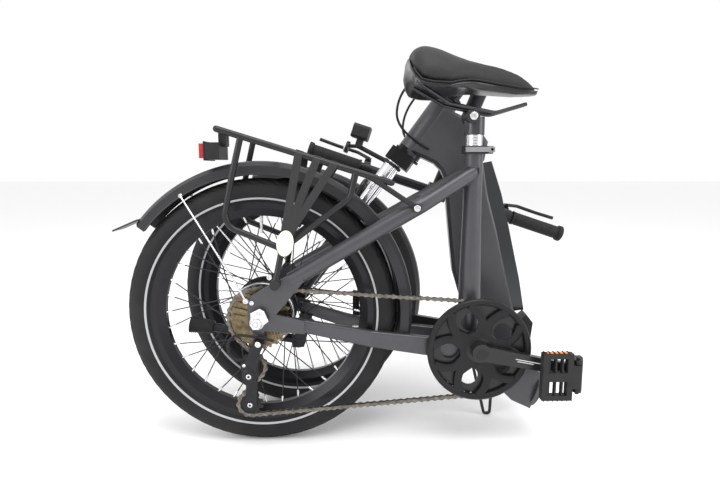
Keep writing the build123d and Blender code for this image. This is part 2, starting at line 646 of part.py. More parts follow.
frame_half = 30.0
frame_outline = [(hinge_x + 9, 44), (590, 92), (620, 134), (674, 220), (702, 267), (747, 335), (780, 398),
                 (786, 437), (812, 456), (850, 470), (897, 476), (935, 366), (903, 364), (876, 361),
                 (858, 352), (845, 338), (824, 290), (789, 212), (765, 160), (724, 102), (662, 32), (620, -6),
                 (hinge_x + 9, -31)]
front_frame = slab(frame_outline, -frame_half, frame_half)
long_edges = [edge for edge in front_frame.edges() if abs((edge @ 1 - edge @ 0).Y) < 1]
front_frame = chamfer(long_edges, 7)
head_tube = rod((0, 0, 0), (0, 0, head_length), head_radius)
front_frame += steer(head_tube)
front_plate = hinge_plate(0.3, flange_back)
front_plate += knuckle(knuckle_cuts[1] + gap, knuckle_cuts[2] - gap, 1)
front_frame += front_plate
front_frame -= steer(rod((0, 0, -1), (0, 0, head_length + 1), steerer_radius + running_fit))
battery_half = 25.5
channel_outline = [(560, 110), (575, 140), (650, 262), (735, 390), (760, 412), (783, 396), (816, 375), (784, 310),
                   (740, 242), (712, 194), (664, 118), (627, 96)]
front_frame -= slab(channel_outline, -battery_half - 0.5, battery_half + 0.5)
nodes["front_frame"] = [front_frame.solids().sort_by(lambda solid: solid.volume)[-1]]

battery_outline = [(598, 132), (629, 190), (652, 228), (687, 286), (724, 345), (766, 402), (780, 394),
                   (812, 374), (782, 312), (738, 244), (710, 196), (672, 140), (644, 108)]
nodes["battery"] = [slab(battery_outline, -battery_half, battery_half)]
cover = slab([(hinge_x + 12, 48), (588, 92), (598, 106), (588, 124), (570, 112), (hinge_x + 10, 74)], -24, 24)
nodes["controller_cover"] = [cover - front_frame]

# ---- frame latch on the right of the hinge ----
latch_x = hinge_x + 22
latch_y = -frame_half - 12
latch_mount = block((hinge_x + 12, latch_y - 2, -16), (latch_x + 8, -frame_half + 8, -8))
latch_mount += block((hinge_x + 12, latch_y - 2, 12), (latch_x + 8, -frame_half + 8, 20))
latch_mount += rod((latch_x, latch_y, -18), (latch_x, latch_y, 22), 3)
nodes["front_frame"] = [nodes["front_frame"][0] + latch_mount]
latch = rod((latch_x, latch_y, -7.4), (latch_x, latch_y, 11.4), 7)
latch += slab([(latch_x, -7.4), (latch_x + 70, 0), (latch_x + 78, 8), (latch_x + 72, 16), (latch_x, 11.4)],
              latch_y - 7, latch_y - 1)
latch -= rod((latch_x, latch_y, -20), (latch_x, latch_y, 30), 3 + running_fit)
nodes["frame_latch"] = [latch]

# ---- fork: steering axes ----
leg_spread = 55.0
leg_ahead = 12.0
stanchion_radius = 14.0
slider_radius = 18.0
slider_top = -156.0
stanchion_end = -260.0
fork_stroke = 35.0
slider_bore = stanchion_end - fork_stroke - 3.0
base_top = head_length + 77.0
crown = block((-20, -leg_spread - 17, -31), (32, leg_spread + 17, -3))
crown = chamfer(crown.edges().filter_by(Axis.Z), 10)
crown += rod((0, 0, -10), (0, 0, head_length + 30), steerer_radius)
for side in (-1, 1):
    crown += rod((leg_ahead, side * leg_spread, stanchion_end), (leg_ahead, side * leg_spread, 2), stanchion_radius)
    crown += rod((leg_ahead, side * leg_spread, 2), (leg_ahead, side * leg_spread, 9), 9)
nodes["fork_crown"] = [steer(crown)]
lowers = None
for side in (-1, 1):
    y = side * leg_spread
    leg = rod((leg_ahead, y, slider_top), (leg_ahead, y, -fork_length + 22), slider_radius)
    leg += slab([(leg_ahead - 9, 30 - fork_length), (leg_ahead + 9, 30 - fork_length),
                 (fork_rake + 13, 4 - fork_length), (fork_rake + 8, -13 - fork_length),
                 (fork_rake - 10, -12 - fork_length)], *sorted((side * 50, side * 57)))
    leg -= rod((leg_ahead, y, slider_bore), (leg_ahead, y, 0), stanchion_radius + running_fit)
    lowers = leg if lowers is None else lowers + leg
arch_z = -96.0
lowers += pipe([(leg_ahead + 17, -leg_spread, slider_top - 14), (leg_ahead + 24, -leg_spread + 6, arch_z),
                (leg_ahead + 24, leg_spread - 6, arch_z), (leg_ahead + 17, leg_spread, slider_top - 14)], 5.5, [18, 18])
for side in (-1, 1):
    lowers -= rod((leg_ahead, side * leg_spread, slider_bore), (leg_ahead, side * leg_spread, 0),
                  stanchion_radius + running_fit)
lowers += rod((leg_ahead + 23, 0, arch_z - 3), (leg_ahead + 21, 0, arch_z - 16), 4)
lowers += drum(fork_rake, -fork_length, -66, 66, axle_radius)
for side in (-1, 1):
    nut = Plane(origin=(fork_rake, side * 57, -fork_length), z_dir=(0, side, 0)) * RegularPolygon(9, 6)
    lowers += extrude(nut, 7)
lowers_riding = steer(lowers)
hub_x = head_x + ahead[0] * fork_rake - up[0] * fork_length
hub_place = Pos(hub_x, 0, 0)
front_guard = hub_place * mudguard(276, 52, 122)
front_guard -= lowers_riding
nodes["fork_lowers"] = [lowers_riding]
nodes["front_mudguard"] = [front_guard.solids().sort_by(lambda solid: solid.volume)[-1]]

# ---- headlight and reflector ----
light = block((1026, -21, 361), (1062, 21, 391))
light = chamfer(light.edges().filter_by(Axis.X), 5)
light += block((1034, -9, 344), (1048, 9, 362))
light += rod((956, 0, 332), (1041, 0, 346), 5)
light += rod((1041, 0, 346), (1062, 0, 340), 4)
light += rod((1060, 0, 337), (1066, 0, 337), 13)
nodes["headlight"] = [light - nodes["fork_crown"][0]]
nodes["headlight_lens"] = [block((1062, -18, 364), (1068, 18, 388))]

# ---- front wheel ----
nodes["front_tyre"] = [hub_place * tyre()]
nodes["front_rim"] = [hub_place * rim()]
nodes["front_spokes"] = [hub_place * spoke for spoke in spokes(24.0, -26.0, 26.0)]
front_hub = turned([(axle_radius + running_fit, -44), (12, -44), (16, -32), (28, -31), (28, -25), (17, -22),
                    (17, 22), (28, 25), (28, 31), (16, 32), (12, 44), (axle_radius + running_fit, 44)])
nodes["front_hub"] = [hub_place * front_hub]

# ---- stem: base on the steerer, post on an oblique hinge ----
post_radius = 17.0
stem_flange = 23.0
post_length = 283.0
bar_half = 325.0
bar_radius = 11.1
stem_offset = 30.0          # hinge line from the stem's centre line
stem_bearing = 225.0        # direction of the hinge line's nearest point: rear right
folded_lean = 22.0          # folded post from the vertical, foot outwards
stem_z = base_top
base = rod((0, 0, head_length + 2), (0, 0, head_length + 40), 20)
base += rod((0, 0, head_length + 38), (0, 0, stem_z - 12), 18)
base += rod((0, 0, stem_z - 14), (0, 0, stem_z - 0.2), stem_flange)
base -= rod((0, 0, 0), (0, 0, head_length + 30), steerer_radius)


def cross(a, b):
    """Cross product of two vectors."""
    return (a[1] * b[2] - a[2] * b[1], a[2] * b[0] - a[0] * b[2], a[0] * b[1] - a[1] * b[0])


splay = math.radians(fold_splay)
lean = math.radians(folded_lean)
along = (math.cos(splay), math.sin(splay), 0.0)
post_down = (math.sin(splay) * math.sin(lean), -math.cos(splay) * math.sin(lean), -math.cos(lean))
left_folded = tuple(-value for value in along)
ahead_folded = cross(left_folded, post_down)
bearing = math.radians(stem_bearing)
pivot = (stem_offset * math.cos(bearing), stem_offset * math.sin(bearing))
stem_centre = [head_x + up[0] * stem_z, 0.0, head_z + up[2] * stem_z]
pivot_point = [stem_centre[i] + pivot[0] * ahead[i] + pivot[1] * (0, 1, 0)[i] for i in range(3)]
folded_centre = [pivot_point[i] - pivot[0] * ahead_folded[i] - pivot[1] * left_folded[i] for i in range(3)]
post_plane = Plane(origin=folded_centre, x_dir=ahead_folded, z_dir=post_down)
matrix = [[ahead_folded[i] * ahead[j] + left_folded[i] * (0, 1, 0)[j] + post_down[i] * up[j] for j in range(3)]
          for i in range(3)]
trace = matrix[0][0] + matrix[1][1] + matrix[2][2]
stem_angle = math.degrees(math.acos((trace - 1) / 2))
twist = (matrix[2][1] - matrix[1][2], matrix[0][2] - matrix[2][0], matrix[1][0] - matrix[0][1])
size = math.sqrt(sum(value * value for value in twist))
stem_axis = tuple(value / size for value in twist)


def cockpit(shape):
    """Post axes (X ahead, Z up the post, origin at the stem hinge) to the folded stem."""
    return post_plane.location * shape


knuckle_line = (ahead[0] * stem_axis[0] + ahead[2] * stem_axis[2], stem_axis[1],
                up[0] * stem_axis[0] + up[2] * stem_axis[2])


def stem_knuckle(start, end, radius):
    """Part of the stem hinge's barrel, in steering axes measured from the hinge."""
    a = tuple(p + start * k for p, k in zip((pivot[0], pivot[1], 0), knuckle_line))
    b = tuple(p + end * k for p, k in zip((pivot[0], pivot[1], 0), knuckle_line))
    return rod(a, b, radius)


web = block((pivot[0], pivot[1], -12), (0, 0, -0.4)) + stem_knuckle(-16, -6, 6)
web += stem_knuckle(6, 16, 6)
web -= stem_knuckle(-5.5, 5.5, 7)
web += stem_knuckle(-18, 18, 3)
base += Pos(0, 0, stem_z) * web
upper = rod((0, 0, 0.2), (0, 0, 14), stem_flange)
upper += rod((0, 0, 12), (0, 0, post_length - 8), post_radius)
upper += drum(0, post_length, -24, 24, 19)
leaf = block((pivot[0] + 2, pivot[1] + 2, 0.4), (0, 0, 12)) + stem_knuckle(-5, 5, 6)
leaf -= stem_knuckle(-30, -5, 7.5)
leaf -= stem_knuckle(5, 30, 7.5)
upper += leaf
upper -= stem_knuckle(-30, 30, 3 + running_fit)
upper -= drum(0, post_length, -60, 60, bar_radius)
nodes["stem_post"] = [cockpit(upper)]

grip_length = 130.0
bar = drum(0, post_length, -bar_half + 2, bar_half - 2, bar_radius)
for side in (-1, 1):
    perch_y = side * (bar_half - grip_length - 14)
    perch = drum(0, post_length, *sorted((perch_y - side * 8, perch_y + side * 8)), 16)
    perch += block((6, perch_y - 8, post_length - 9), (40, perch_y + 8, post_length + 5))
    bar += perch
display_y = 70.0
bar += drum(0, post_length, display_y - 8, display_y + 8, 15)
bar += block((-4, display_y - 26, post_length + 13), (34, display_y + 26, post_length + 27))
nodes["handlebar"] = [cockpit(bar)]
grips = []
for side in (-1, 1):
    start = side * (bar_half - grip_length)
    end = side * bar_half
    grip = drum(0, post_length, *sorted((start, end)), 15.5)
    grip += drum(0, post_length, *sorted((end - side * 9, end)), 18.5)
    grip -= drum(0, post_length, *sorted((start, end - side * 2)), bar_radius)
    grips.append(cockpit(grip))
nodes["grips"] = grips
for side, name in ((-1, "right"), (1, "left")):
    perch_y = side * (bar_half - grip_length - 14)
    pivot_x = 32.0
    z = post_length - 2
    blade = rod((pivot_x, perch_y, z - 13.6), (pivot_x, perch_y, z - 7.6), 7)
    blade_z = z - 12.2
    blade += pipe([(pivot_x, perch_y, blade_z), (pivot_x + 16, perch_y + side * 30, blade_z),
                   (pivot_x + 14, perch_y + side * 80, blade_z), (pivot_x + 18, perch_y + side * 128, blade_z)],
                  4.2, [14, 40])
    nodes[name + "_brake_lever"] = [cockpit(blade)]

latch_z = stem_z - 34
latch_side = stem_flange + 3
stem_catch = rod((-8, latch_side - 12, latch_z), (-8, latch_side + 9, latch_z), 3)
nodes["stem_base"] = [steer(base + stem_catch)]
blade = rod((-8, latch_side - 5, latch_z), (-8, latch_side + 7, latch_z), 7)
blade += block((-14, latch_side + 2, latch_z - 38), (-2, latch_side + 7, latch_z))
blade -= rod((-8, 0, latch_z), (-8, 60, latch_z), 3 + running_fit)
nodes["stem_latch"] = [steer(blade)]

# ---- cables, riding axes: from the stem down in front of the head tube, into the frame's port ----
front_loops = [
    [(888, -40, 545), (948, -42, 520), (974, -38, 450), (958, -36, 388), (896, -33.5, 372)],
    [(886, 46, 550), (950, 46, 540), (992, 44, 470), (972, 40, 398), (896, 33.5, 384)],
]


def bend_radii(points):
    """Largest tangent arcs: 0.45 of the shorter run over the tangent of half the turn."""
    radii = []
    for before, corner, after in zip(points, points[1:], points[2:]):
        first = Vector(*corner) - Vector(*before)
        second = Vector(*after) - Vector(*corner)
        turn = math.radians(first.get_angle(second))
        radii.append(0.45 * min(first.length, second.length) / math.tan(turn / 2))
    return radii


cable_radius = 2.5
nodes["control_cables"] = []
for points in front_loops:
    radii = bend_radii(points)
    print("control cable radii", [round(radius, 1) for radius in radii])
    nodes["control_cables"].append(pipe(points, cable_radius, radii))
shift_points = [(2, -88, -54), (-30, -90, -70), (-52, -90, -48), (-44, -88, -18), (-8, -86, -20), (30, -80, -32)]
radii = bend_radii(shift_points)
print("shift cable radii", [round(radius, 1) for radius in radii])
nodes["shift_cable"] = [pipe(shift_points, cable_radius, radii) - nodes["derailleur"][0] - stays]

front_nodes = ["control_cables", "stem_latch", "front_frame", "battery", "controller_cover", "frame_latch",
               "fork_crown", "fork_lowers", "front_mudguard", "headlight", "headlight_lens", "front_tyre",
               "front_rim", "front_spokes", "front_hub", "stem_base", "stem_post", "handlebar", "grips",
               "right_brake_lever", "left_brake_lever"]
for name in front_nodes:
    nodes[name] = [fold(solid) for piece in nodes[name] for solid in piece.solids()]

# ---- rest loop under the front frame, the third foot of the folded bicycle, resting axes ----
loop_bottom = 3.2 - wheel_radius
loop = pipe([(413, 97, -80), (452.5, 79, loop_bottom), (465, 79, loop_bottom), (472, 88, -138)], 3.2, [5.5, 5.5])
loop -= Compound(children=nodes["front_frame"])
nodes["rest_loop"] = [loop.solids().sort_by(lambda solid: solid.volume)[-1]]

# ---- place in the part's frame: origin under the middle, floor at zero ----
everything = [solid for pieces in nodes.values() for piece in pieces for solid in piece.solids()]
boxes = [solid.bounding_box() for solid in everything]
centre_x = (min(box.min.X for box in boxes) + max(box.max.X for box in boxes)) / 2
centre_y = (min(box.min.Y for box in boxes) + max(box.max.Y for box in boxes)) / 2
lowest = min(box.min.Z for box in boxes)
os.makedirs("parts", exist_ok=True)
place = Pos(-centre_x, -centre_y, -lowest)
for name, pieces in nodes.items():
    solids = [place * solid for piece in pieces for solid in piece.solids()]
    export_step(Compound(children=solids) if len(solids) > 1 else solids[0], f"parts/{name}.step")


def resting(point):
    """Unfolded riding point to the folded, placed point."""
    marker = fold(Pos(*point) * Box(1, 1, 1)).center()
    return tuple(round(value, 3) for value in (marker.X - centre_x, marker.Y - centre_y, marker.Z - lowest))


print("origin offset", round(centre_x, 3), round(centre_y, 3), round(lowest, 3))
print("hinge lean", round(hinge_lean, 4), "fold angle", fold_angle, "hub", resting((hub_x, 0, 0)))
print("stem angle", round(stem_angle, 4), "axis points", resting(pivot_point),
      resting([p + 100 * a for p, a in zip(pivot_point, stem_axis)]))
print("steering points", resting((head_x, 0, head_z)), resting([h + 100 * u for h, u in zip((head_x, 0, head_z), up)]))
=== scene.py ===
import json
import math
import bpy
import numpy as np
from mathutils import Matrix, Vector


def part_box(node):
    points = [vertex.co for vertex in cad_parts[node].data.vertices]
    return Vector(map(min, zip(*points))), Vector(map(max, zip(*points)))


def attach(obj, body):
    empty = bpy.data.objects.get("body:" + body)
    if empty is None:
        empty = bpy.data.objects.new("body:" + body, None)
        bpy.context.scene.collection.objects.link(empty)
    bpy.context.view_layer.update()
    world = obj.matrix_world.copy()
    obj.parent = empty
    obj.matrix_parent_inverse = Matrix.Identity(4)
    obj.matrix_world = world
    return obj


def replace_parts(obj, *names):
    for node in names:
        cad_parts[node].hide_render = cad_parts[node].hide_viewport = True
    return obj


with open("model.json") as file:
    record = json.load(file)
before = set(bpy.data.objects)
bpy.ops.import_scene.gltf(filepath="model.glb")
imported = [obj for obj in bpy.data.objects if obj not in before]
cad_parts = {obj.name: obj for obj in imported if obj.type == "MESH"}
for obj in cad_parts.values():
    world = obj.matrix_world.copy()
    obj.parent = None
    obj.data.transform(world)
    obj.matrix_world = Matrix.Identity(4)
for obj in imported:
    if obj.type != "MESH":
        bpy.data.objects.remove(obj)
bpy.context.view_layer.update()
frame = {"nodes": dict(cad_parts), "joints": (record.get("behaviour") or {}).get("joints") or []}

node = frame["nodes"]
joint = {entry["name"]: entry for entry in frame["joints"]}

# ---- Frame: seat tube, stays, hinge lug and front beam ----
# Welded aluminium tubes under a dark grey metallic powder coat, satin, with fine bright flakes.
# The rear half stands as it is folded; the front half is bolted to it by the hinge pin.
axle_place = np.array(joint["rear_wheel_spin"]["pos_m"])
MM = 0.001
tip_angle = math.radians(17)
seat_tube_x = 395.0


def rear(points):
    """Millimetres from the rear axle, as the rear half stands, to metres in the row frame."""
    return np.asarray(points, float) * MM + axle_place


def riding(x, y, z):
    """Riding axes to the standing rear half: a turn of 17 degrees nose down."""
    along = x * math.cos(tip_angle) + z * math.sin(tip_angle)
    return (along, y, z * math.cos(tip_angle) - x * math.sin(tip_angle))


class Wire:
    """A node socket on which + - * and / add Math nodes; node() adds any other node."""

    def __init__(self, tree, socket):
        self.tree, self.socket = tree, socket

    def node(self, kind, settings, inputs, output=0):
        made = self.tree.nodes.new(kind)
        for key, value in settings.items():
            setattr(made, key, value)
        for key, value in inputs.items():
            if isinstance(value, Wire):
                self.tree.links.new(value.socket, made.inputs[key])
            else:
                made.inputs[key].default_value = value
        return Wire(self.tree, made.outputs[output])

    def math(self, operation, first, second):
        return self.node("ShaderNodeMath", {"operation": operation}, {0: first, 1: second})

    def __add__(self, other):
        return self.math("ADD", self, other)

    def __sub__(self, other):
        return self.math("SUBTRACT", self, other)

    def __rsub__(self, other):
        return self.math("SUBTRACT", other, self)

    def __mul__(self, other):
        return self.math("MULTIPLY", self, other)

    def __truediv__(self, other):
        return self.math("DIVIDE", self, other)

    def above(self, level, soft=0.02):
        """0 below level, 1 above it, with a soft edge."""
        return self.node("ShaderNodeMapRange", {"clamp": True}, {0: self, 1: level - soft, 2: level + soft})

    __radd__, __rmul__ = __add__, __mul__


def noise(point, scale, detail=4.0, rough=0.55):
    """Fractal noise from 0 to 1 with scale features a metre."""
    return point.node("ShaderNodeTexNoise", {},
                      {"Vector": point, "Scale": scale, "Detail": detail, "Roughness": rough})


def blend_colour(share, first, second):
    """Colour that goes from first to second as share goes from 0 to 1."""
    return share.node("ShaderNodeMix", {"data_type": "RGBA"}, {0: share, 6: first, 7: second}, 2)


def shade(colour, factor):
    """A colour made lighter or darker, with its alpha kept at 1."""
    return [min(1.0, channel * factor) for channel in colour[:3]] + [1.0]


def finish(name, tone, rough, metal=0.0, mottle=0.15, patches=45.0, grain=1500.0, depth=0.15,
           stretch=(1, 1, 1),
           dust=0.0, pattern=None, **sockets):
    """Material whose tone, roughness and bump vary with patches, fine grain and dust gathered in broad areas.

    pattern(point, colour, rough, height) may change all three before they reach the shader."""
    material = bpy.data.materials.new(name)
    material.use_nodes = True
    tree = material.node_tree
    shader = tree.nodes["Principled BSDF"]
    place = Wire(tree, tree.nodes.new("ShaderNodeTexCoord").outputs["Object"])
    long = place.node("ShaderNodeMapping", {}, {"Vector": place, "Scale": stretch})
    broad = noise(place, patches)
    fine = noise(long, grain, 3.0)
    colour = blend_colour(broad.above(0.5, 0.22), shade(tone, 1 - mottle), shade(tone, 1 + mottle))
    colour = blend_colour(fine * mottle, colour, shade(tone, 1.5))
    wear = noise(place, patches * 0.23, 5.0).above(0.62, 0.16)
    if dust:
        colour = blend_colour(wear * dust, colour, (0.33, 0.31, 0.28, 1))
    roughness = broad * 0.12 + fine * 0.08 + wear * 0.07 + (rough - 0.13)
    height = fine
    if pattern:
        colour, roughness, height = pattern(place, colour, roughness, height)
    bump = place.node("ShaderNodeBump", {}, {"Strength": depth, "Distance": 0.0006, "Height": height})
    for key, value in {"Base Color": colour, "Roughness": roughness, "Normal": bump}.items():
        tree.links.new(value.socket, shader.inputs[key])
    shader.inputs["Metallic"].default_value = metal
    shader.inputs["Specular IOR Level"].default_value = 0.2
    for key, value in sockets.items():
        shader.inputs[key.replace("_", " ")].default_value = value
    return material


def dress(material, *names):
    """Gives CAD nodes a material."""
    for name in names:
        node[name].data.materials.clear()
        node[name].data.materials.append(material)


def flakes(place, colour, rough, height):
    """Bright metal flakes in the coat: sparse cells of a fine noise are lighter and smoother."""
    spark = noise(place, 5200.0, 1.0).above(0.66, 0.04)
    return blend_colour(spark * 0.35, colour, (0.34, 0.34, 0.36, 1)), rough - spark * 0.08, height


frame_coat = finish("frame_grey_coat", (0.062, 0.062, 0.068), 0.4, metal=0.55, mottle=0.07, patches=22,
                    grain=900,
                    depth=0.06, pattern=flakes, Coat_Weight=0.25, Coat_Roughness=0.3)
dress(frame_coat, "seat_tube", "rear_stays", "front_frame")

# ---- Weld beads ----
# Ripples of filler metal left where the stays meet the seat tube.
# They are laid by hand before the coat, so each bead is a row of overlapping drops.


def skin(grid, around=True, along=False, capped=True):
    """Quads over a grid of points; the ends are closed when capped and the rows don't wrap."""
    rows, columns = grid.shape[:2]
    index = np.arange(rows * columns).reshape(rows, columns)
    down = np.roll(index, -1, 0) if along else index[1:]
    upper = index if along else index[:-1]
    lower = down
    if around:
        quads = np.stack([upper, np.roll(upper, -1, 1), np.roll(lower, -1, 1), lower], -1).reshape(-1, 4)
    else:
        quads = np.stack([upper[:, :-1], upper[:, 1:], lower[:, 1:], lower[:, :-1]], -1).reshape(-1, 4)
    faces = quads.tolist()
    if capped and around and not along:
        faces += [index[0, ::-1].tolist(), index[-1].tolist()]
    return grid.reshape(-1, 3), faces


def turn_profile(profile, centre=(0, 0, 0), count=48, start=0.0, span=360.0):
    """Profile of (radius, y) carried round the Y axis from start degrees: x = r cos a, z = r sin a."""
    profile = np.asarray(profile, float)
    whole = span >= 360
    angle = np.radians(start + np.linspace(0, span, count, endpoint=not whole))[:, None]
    grid = np.stack([profile[:, 0] * np.cos(angle), profile[:, 1] + 0 * angle,
                     profile[:, 0] * np.sin(angle)], -1)
    return skin(grid + np.asarray(centre, float), True, whole, not whole)


def shifted(skin_made, x, y, z):
    """A skin made round zero, moved by x, y, z."""
    return skin_made[0] + np.array([x, y, z]), skin_made[1]


def upright(skin_made, x, y, z):
    """A turned skin stood up, its Y axis along Z, then moved by x, y, z."""
    points = skin_made[0]
    return np.stack([points[:, 0] + x, points[:, 2] + y, points[:, 1] + z], -1), skin_made[1]


def carry(path, section, side=(0, 1, 0), closed=False):
    """Section of (sideways, upward) points, one or one for each path point, carried along a path.

    At each point the tangent is the central difference, 'sideways' is side made square to it,
    'upward' is their cross product, and the section's two numbers are steps along those two directions."""
    path = np.asarray(path, float)
    if closed:
        tangent = np.roll(path, -1, 0) - np.roll(path, 1, 0)
    else:
        tangent = np.gradient(path, axis=0)
    tangent /= np.linalg.norm(tangent, axis=1)[:, None]
    across = np.broadcast_to(np.asarray(side, float), path.shape)
    across = across - (across * tangent).sum(1)[:, None] * tangent
    across /= np.linalg.norm(across, axis=1)[:, None]
    rise = np.cross(tangent, across)
    section = np.broadcast_to(np.asarray(section, float), (len(path),) + np.asarray(section).shape[-2:])
    grid = path[:, None] + section[..., :1] * across[:, None] + section[..., 1:] * rise[:, None]
    return skin(grid, True, closed, True)


def oval(half_width, half_height, count=12, power=1.0):
    """Closed section: cosine and sine raised to a power with their signs kept, so below 1 it squares off."""
    angle = np.linspace(0, 2 * np.pi, count, endpoint=False)
    wide, high = np.cos(angle), np.sin(angle)
    return np.stack([half_width * np.sign(wide) * abs(wide) ** power,
                     half_height * np.sign(high) * abs(high) ** power], -1)


def make(name, skins, material, body, place=rear, bevel=0.0, smooth=35.0):
    """One mesh object from several skins, each turned outside out by its signed volume."""
    points, faces, first = [], [], 0
    for corner, loops in skins:
        corner = place(corner)
        fan = [(face[0], face[step], face[step + 1]) for face in loops for step in range(1, len(face) - 1)]
        a, b, c = (corner[np.array(fan)[:, corner_index]] for corner_index in range(3))
        inward = (a * np.cross(b, c)).sum() < 0
        faces += [[first + number for number in (face[::-1] if inward else face)] for face in loops]
        points.append(corner)
        first += len(corner)
    mesh = bpy.data.meshes.new(name)
    mesh.from_pydata(np.concatenate(points), [], faces)
    mesh.polygons.foreach_set("use_smooth", np.ones(len(mesh.polygons), bool))
    mesh.set_sharp_from_angle(angle=math.radians(smooth))
    mesh.materials.append(material)
    piece = bpy.data.objects.new(name, mesh)
    bpy.context.collection.objects.link(piece)
    if bevel:
        edge = piece.modifiers.new("soft edges", "BEVEL")
        edge.width, edge.segments, edge.limit_method = bevel * MM, 2, "ANGLE"
    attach(piece, body)
    return piece


def bead(path, size=2.2, drops=22):
    """Weld bead along a path: the round section swells and narrows as a rectified sine of the length."""
    path = np.asarray(path, float)
    length = np.linspace(0, 1, drops * 6)
    ticks = np.linspace(0, 1, len(path))
    line = np.stack([np.interp(length, ticks, path[:, axis]) for axis in range(3)], -1)
    swell = 0.72 + 0.28 * abs(np.sin(np.pi * drops * length))
    return carry(line, oval(size, size, 8)[None] * swell[:, None, None], (0, 0, 1))


def saddle_line(tube_radius, stay_radius, start, direction, count=60):
    """Closed line where a stay of one radius meets an upright tube of another: the stay's surface is followed
    along its direction until its distance from the tube's axis equals the tube's radius."""
    direction = np.asarray(direction, float) / np.linalg.norm(direction)
    first = np.cross(direction, (0, 0, 1.0))
    first /= np.linalg.norm(first)
    second = np.cross(direction, first)
    angle = np.linspace(0, 2 * np.pi, count)[:, None]
    line = np.asarray(start, float) + stay_radius * (np.cos(angle) * first + np.sin(angle) * second)
    flat, way = line[:, :2] - np.array([seat_tube_x, 0.0]), direction[:2]
    dot = flat @ way
    reach = -dot - np.sqrt(np.maximum(dot ** 2 - (way @ way) * ((flat ** 2).sum(1) - tube_radius ** 2), 0))
    return line + (reach / (way @ way))[:, None] * direction


beads = []
for side in (-1, 1):
    high = (292, side * 48, 206)
    way = (101, -side * 42, 58)
    ring = saddle_line(17.6, 14.8, high, way)
    beads.append(bead(ring[np.abs(ring[:, 1]) < 40], 1.7, 30))
make("weld_beads", beads, frame_coat, "rear_frame")

# ---- Tyres ----
# Two 20 inch road tyres, 50 mm wide: black rubber with a chevron tread and a reflective band on each side.
# The casing sits in the hooked edges of the rim.
tyre_centre, tyre_round = 229.0, 25.0


def spin(points, name, degrees):
    """Points turned about a joint's line by some degrees (Rodrigues' formula)."""
    line = np.array(joint[name]["axis"], float)
    line /= np.linalg.norm(line)
    arm = np.asarray(points, float) - np.array(joint[name]["pos_m"])
    c, s = math.cos(math.radians(degrees)), math.sin(math.radians(degrees))
    turned = arm * c + np.cross(line, arm) * s + np.outer(arm @ line, line).reshape(arm.shape) * (1 - c)
    return turned + np.array(joint[name]["pos_m"])


def front(points):
    """Riding axes of the unfolded bicycle (rear axle at zero) to the folded front half's place."""
    points = np.asarray(points, float)
    c, s = math.cos(tip_angle), math.sin(tip_angle)
    tipped = np.stack([points[..., 0] * c + points[..., 2] * s, points[..., 1],
                       points[..., 2] * c - points[..., 0] * s], -1)
    return spin(rear(tipped), "main_fold", -joint["main_fold"]["range_deg"][1])


wheel_base = 1072.0034


def front_wheel(points):
    """Wheel axes to the folded front wheel's place."""
    return front(np.asarray(points, float) + np.array([wheel_base, 0.0, 0.0]))


def tread(around, bend):
    """Depth of the tread grooves: mirrored slanted cuts, two running grooves, plain shoulders."""
    side = abs(bend)
    slant = (around * 66 + side * 1.7) % 1.0
    cut = np.clip((0.17 - abs(slant - 0.5)) / 0.05, 0, 1) * np.clip((side - 0.17) / 0.04, 0, 1)
    fine = (around * 132 + side * 2.6 + 0.25) % 1.0
    sipe = 0.5 * np.clip((0.12 - abs(fine - 0.5)) / 0.05, 0, 1)
    running = np.clip((0.045 - abs(side - 0.2)) / 0.02, 0, 1)
    zone = np.clip((0.98 - side) / 0.1, 0, 1)
    return 1.5 * np.maximum(np.maximum(cut, running), sipe) * zone


def tyre_skin():
    """Round section swept round the axle: radius 229 + 25 cos b, width 25 sin b, less the tread."""
    bend = np.radians(np.concatenate([[-141, -135, -126, -123, -114, -111, -100, -88, -76, -66, -60],
                                      np.linspace(-57, 57, 43),
                                      [60, 66, 76, 88, 100, 111, 114, 123, 126, 135, 141]]))
    around = np.linspace(0, 1, 792, endpoint=False)[:, None]
    mould = 0.35 * np.sin(bend * 60) * (abs(abs(bend) - 1.6) < 0.25)
    reach = tyre_round - tread(around, bend[None]) + mould
    outer_r, outer_y = tyre_centre + reach * np.cos(bend), reach * np.sin(bend)
    inner_bend = bend[::-6]
    inner_r = np.broadcast_to(tyre_centre + 21.8 * np.cos(inner_bend), (len(around), len(inner_bend)))
    inner_y = np.broadcast_to(21.8 * np.sin(inner_bend) * 0.93, inner_r.shape)
    radius, width = np.concatenate([outer_r, inner_r], 1), np.concatenate([outer_y, inner_y], 1)
    angle = around * 2 * np.pi
    grid = np.stack([radius * np.cos(angle), width, radius * np.sin(angle)], -1)
    mark = np.broadcast_to(np.concatenate([bend, 0 * inner_bend]), radius.shape)
    return skin(grid, True, True), mark.astype(np.float32)


def rubber_pattern(point, colour, rough, height):
    """Reflective band between 114 and 123 degrees of the section, with a fine woven texture."""
    bend = point.node("ShaderNodeAttribute", {"attribute_name": "section"}, {}, "Fac")
    off = (bend.math("ABSOLUTE", bend, 0.0) - 2.068)
    band = 1.0 - off.math("ABSOLUTE", off, 0.0).above(0.078, 0.006)
    weave = noise(point, 900.0, 2.0)
    colour = blend_colour(band, colour, (0.46, 0.47, 0.48, 1))
    colour = blend_colour(band * weave * 0.35, colour, (0.25, 0.25, 0.26, 1))
    return colour, rough - band * 0.25, height + weave * 0.4


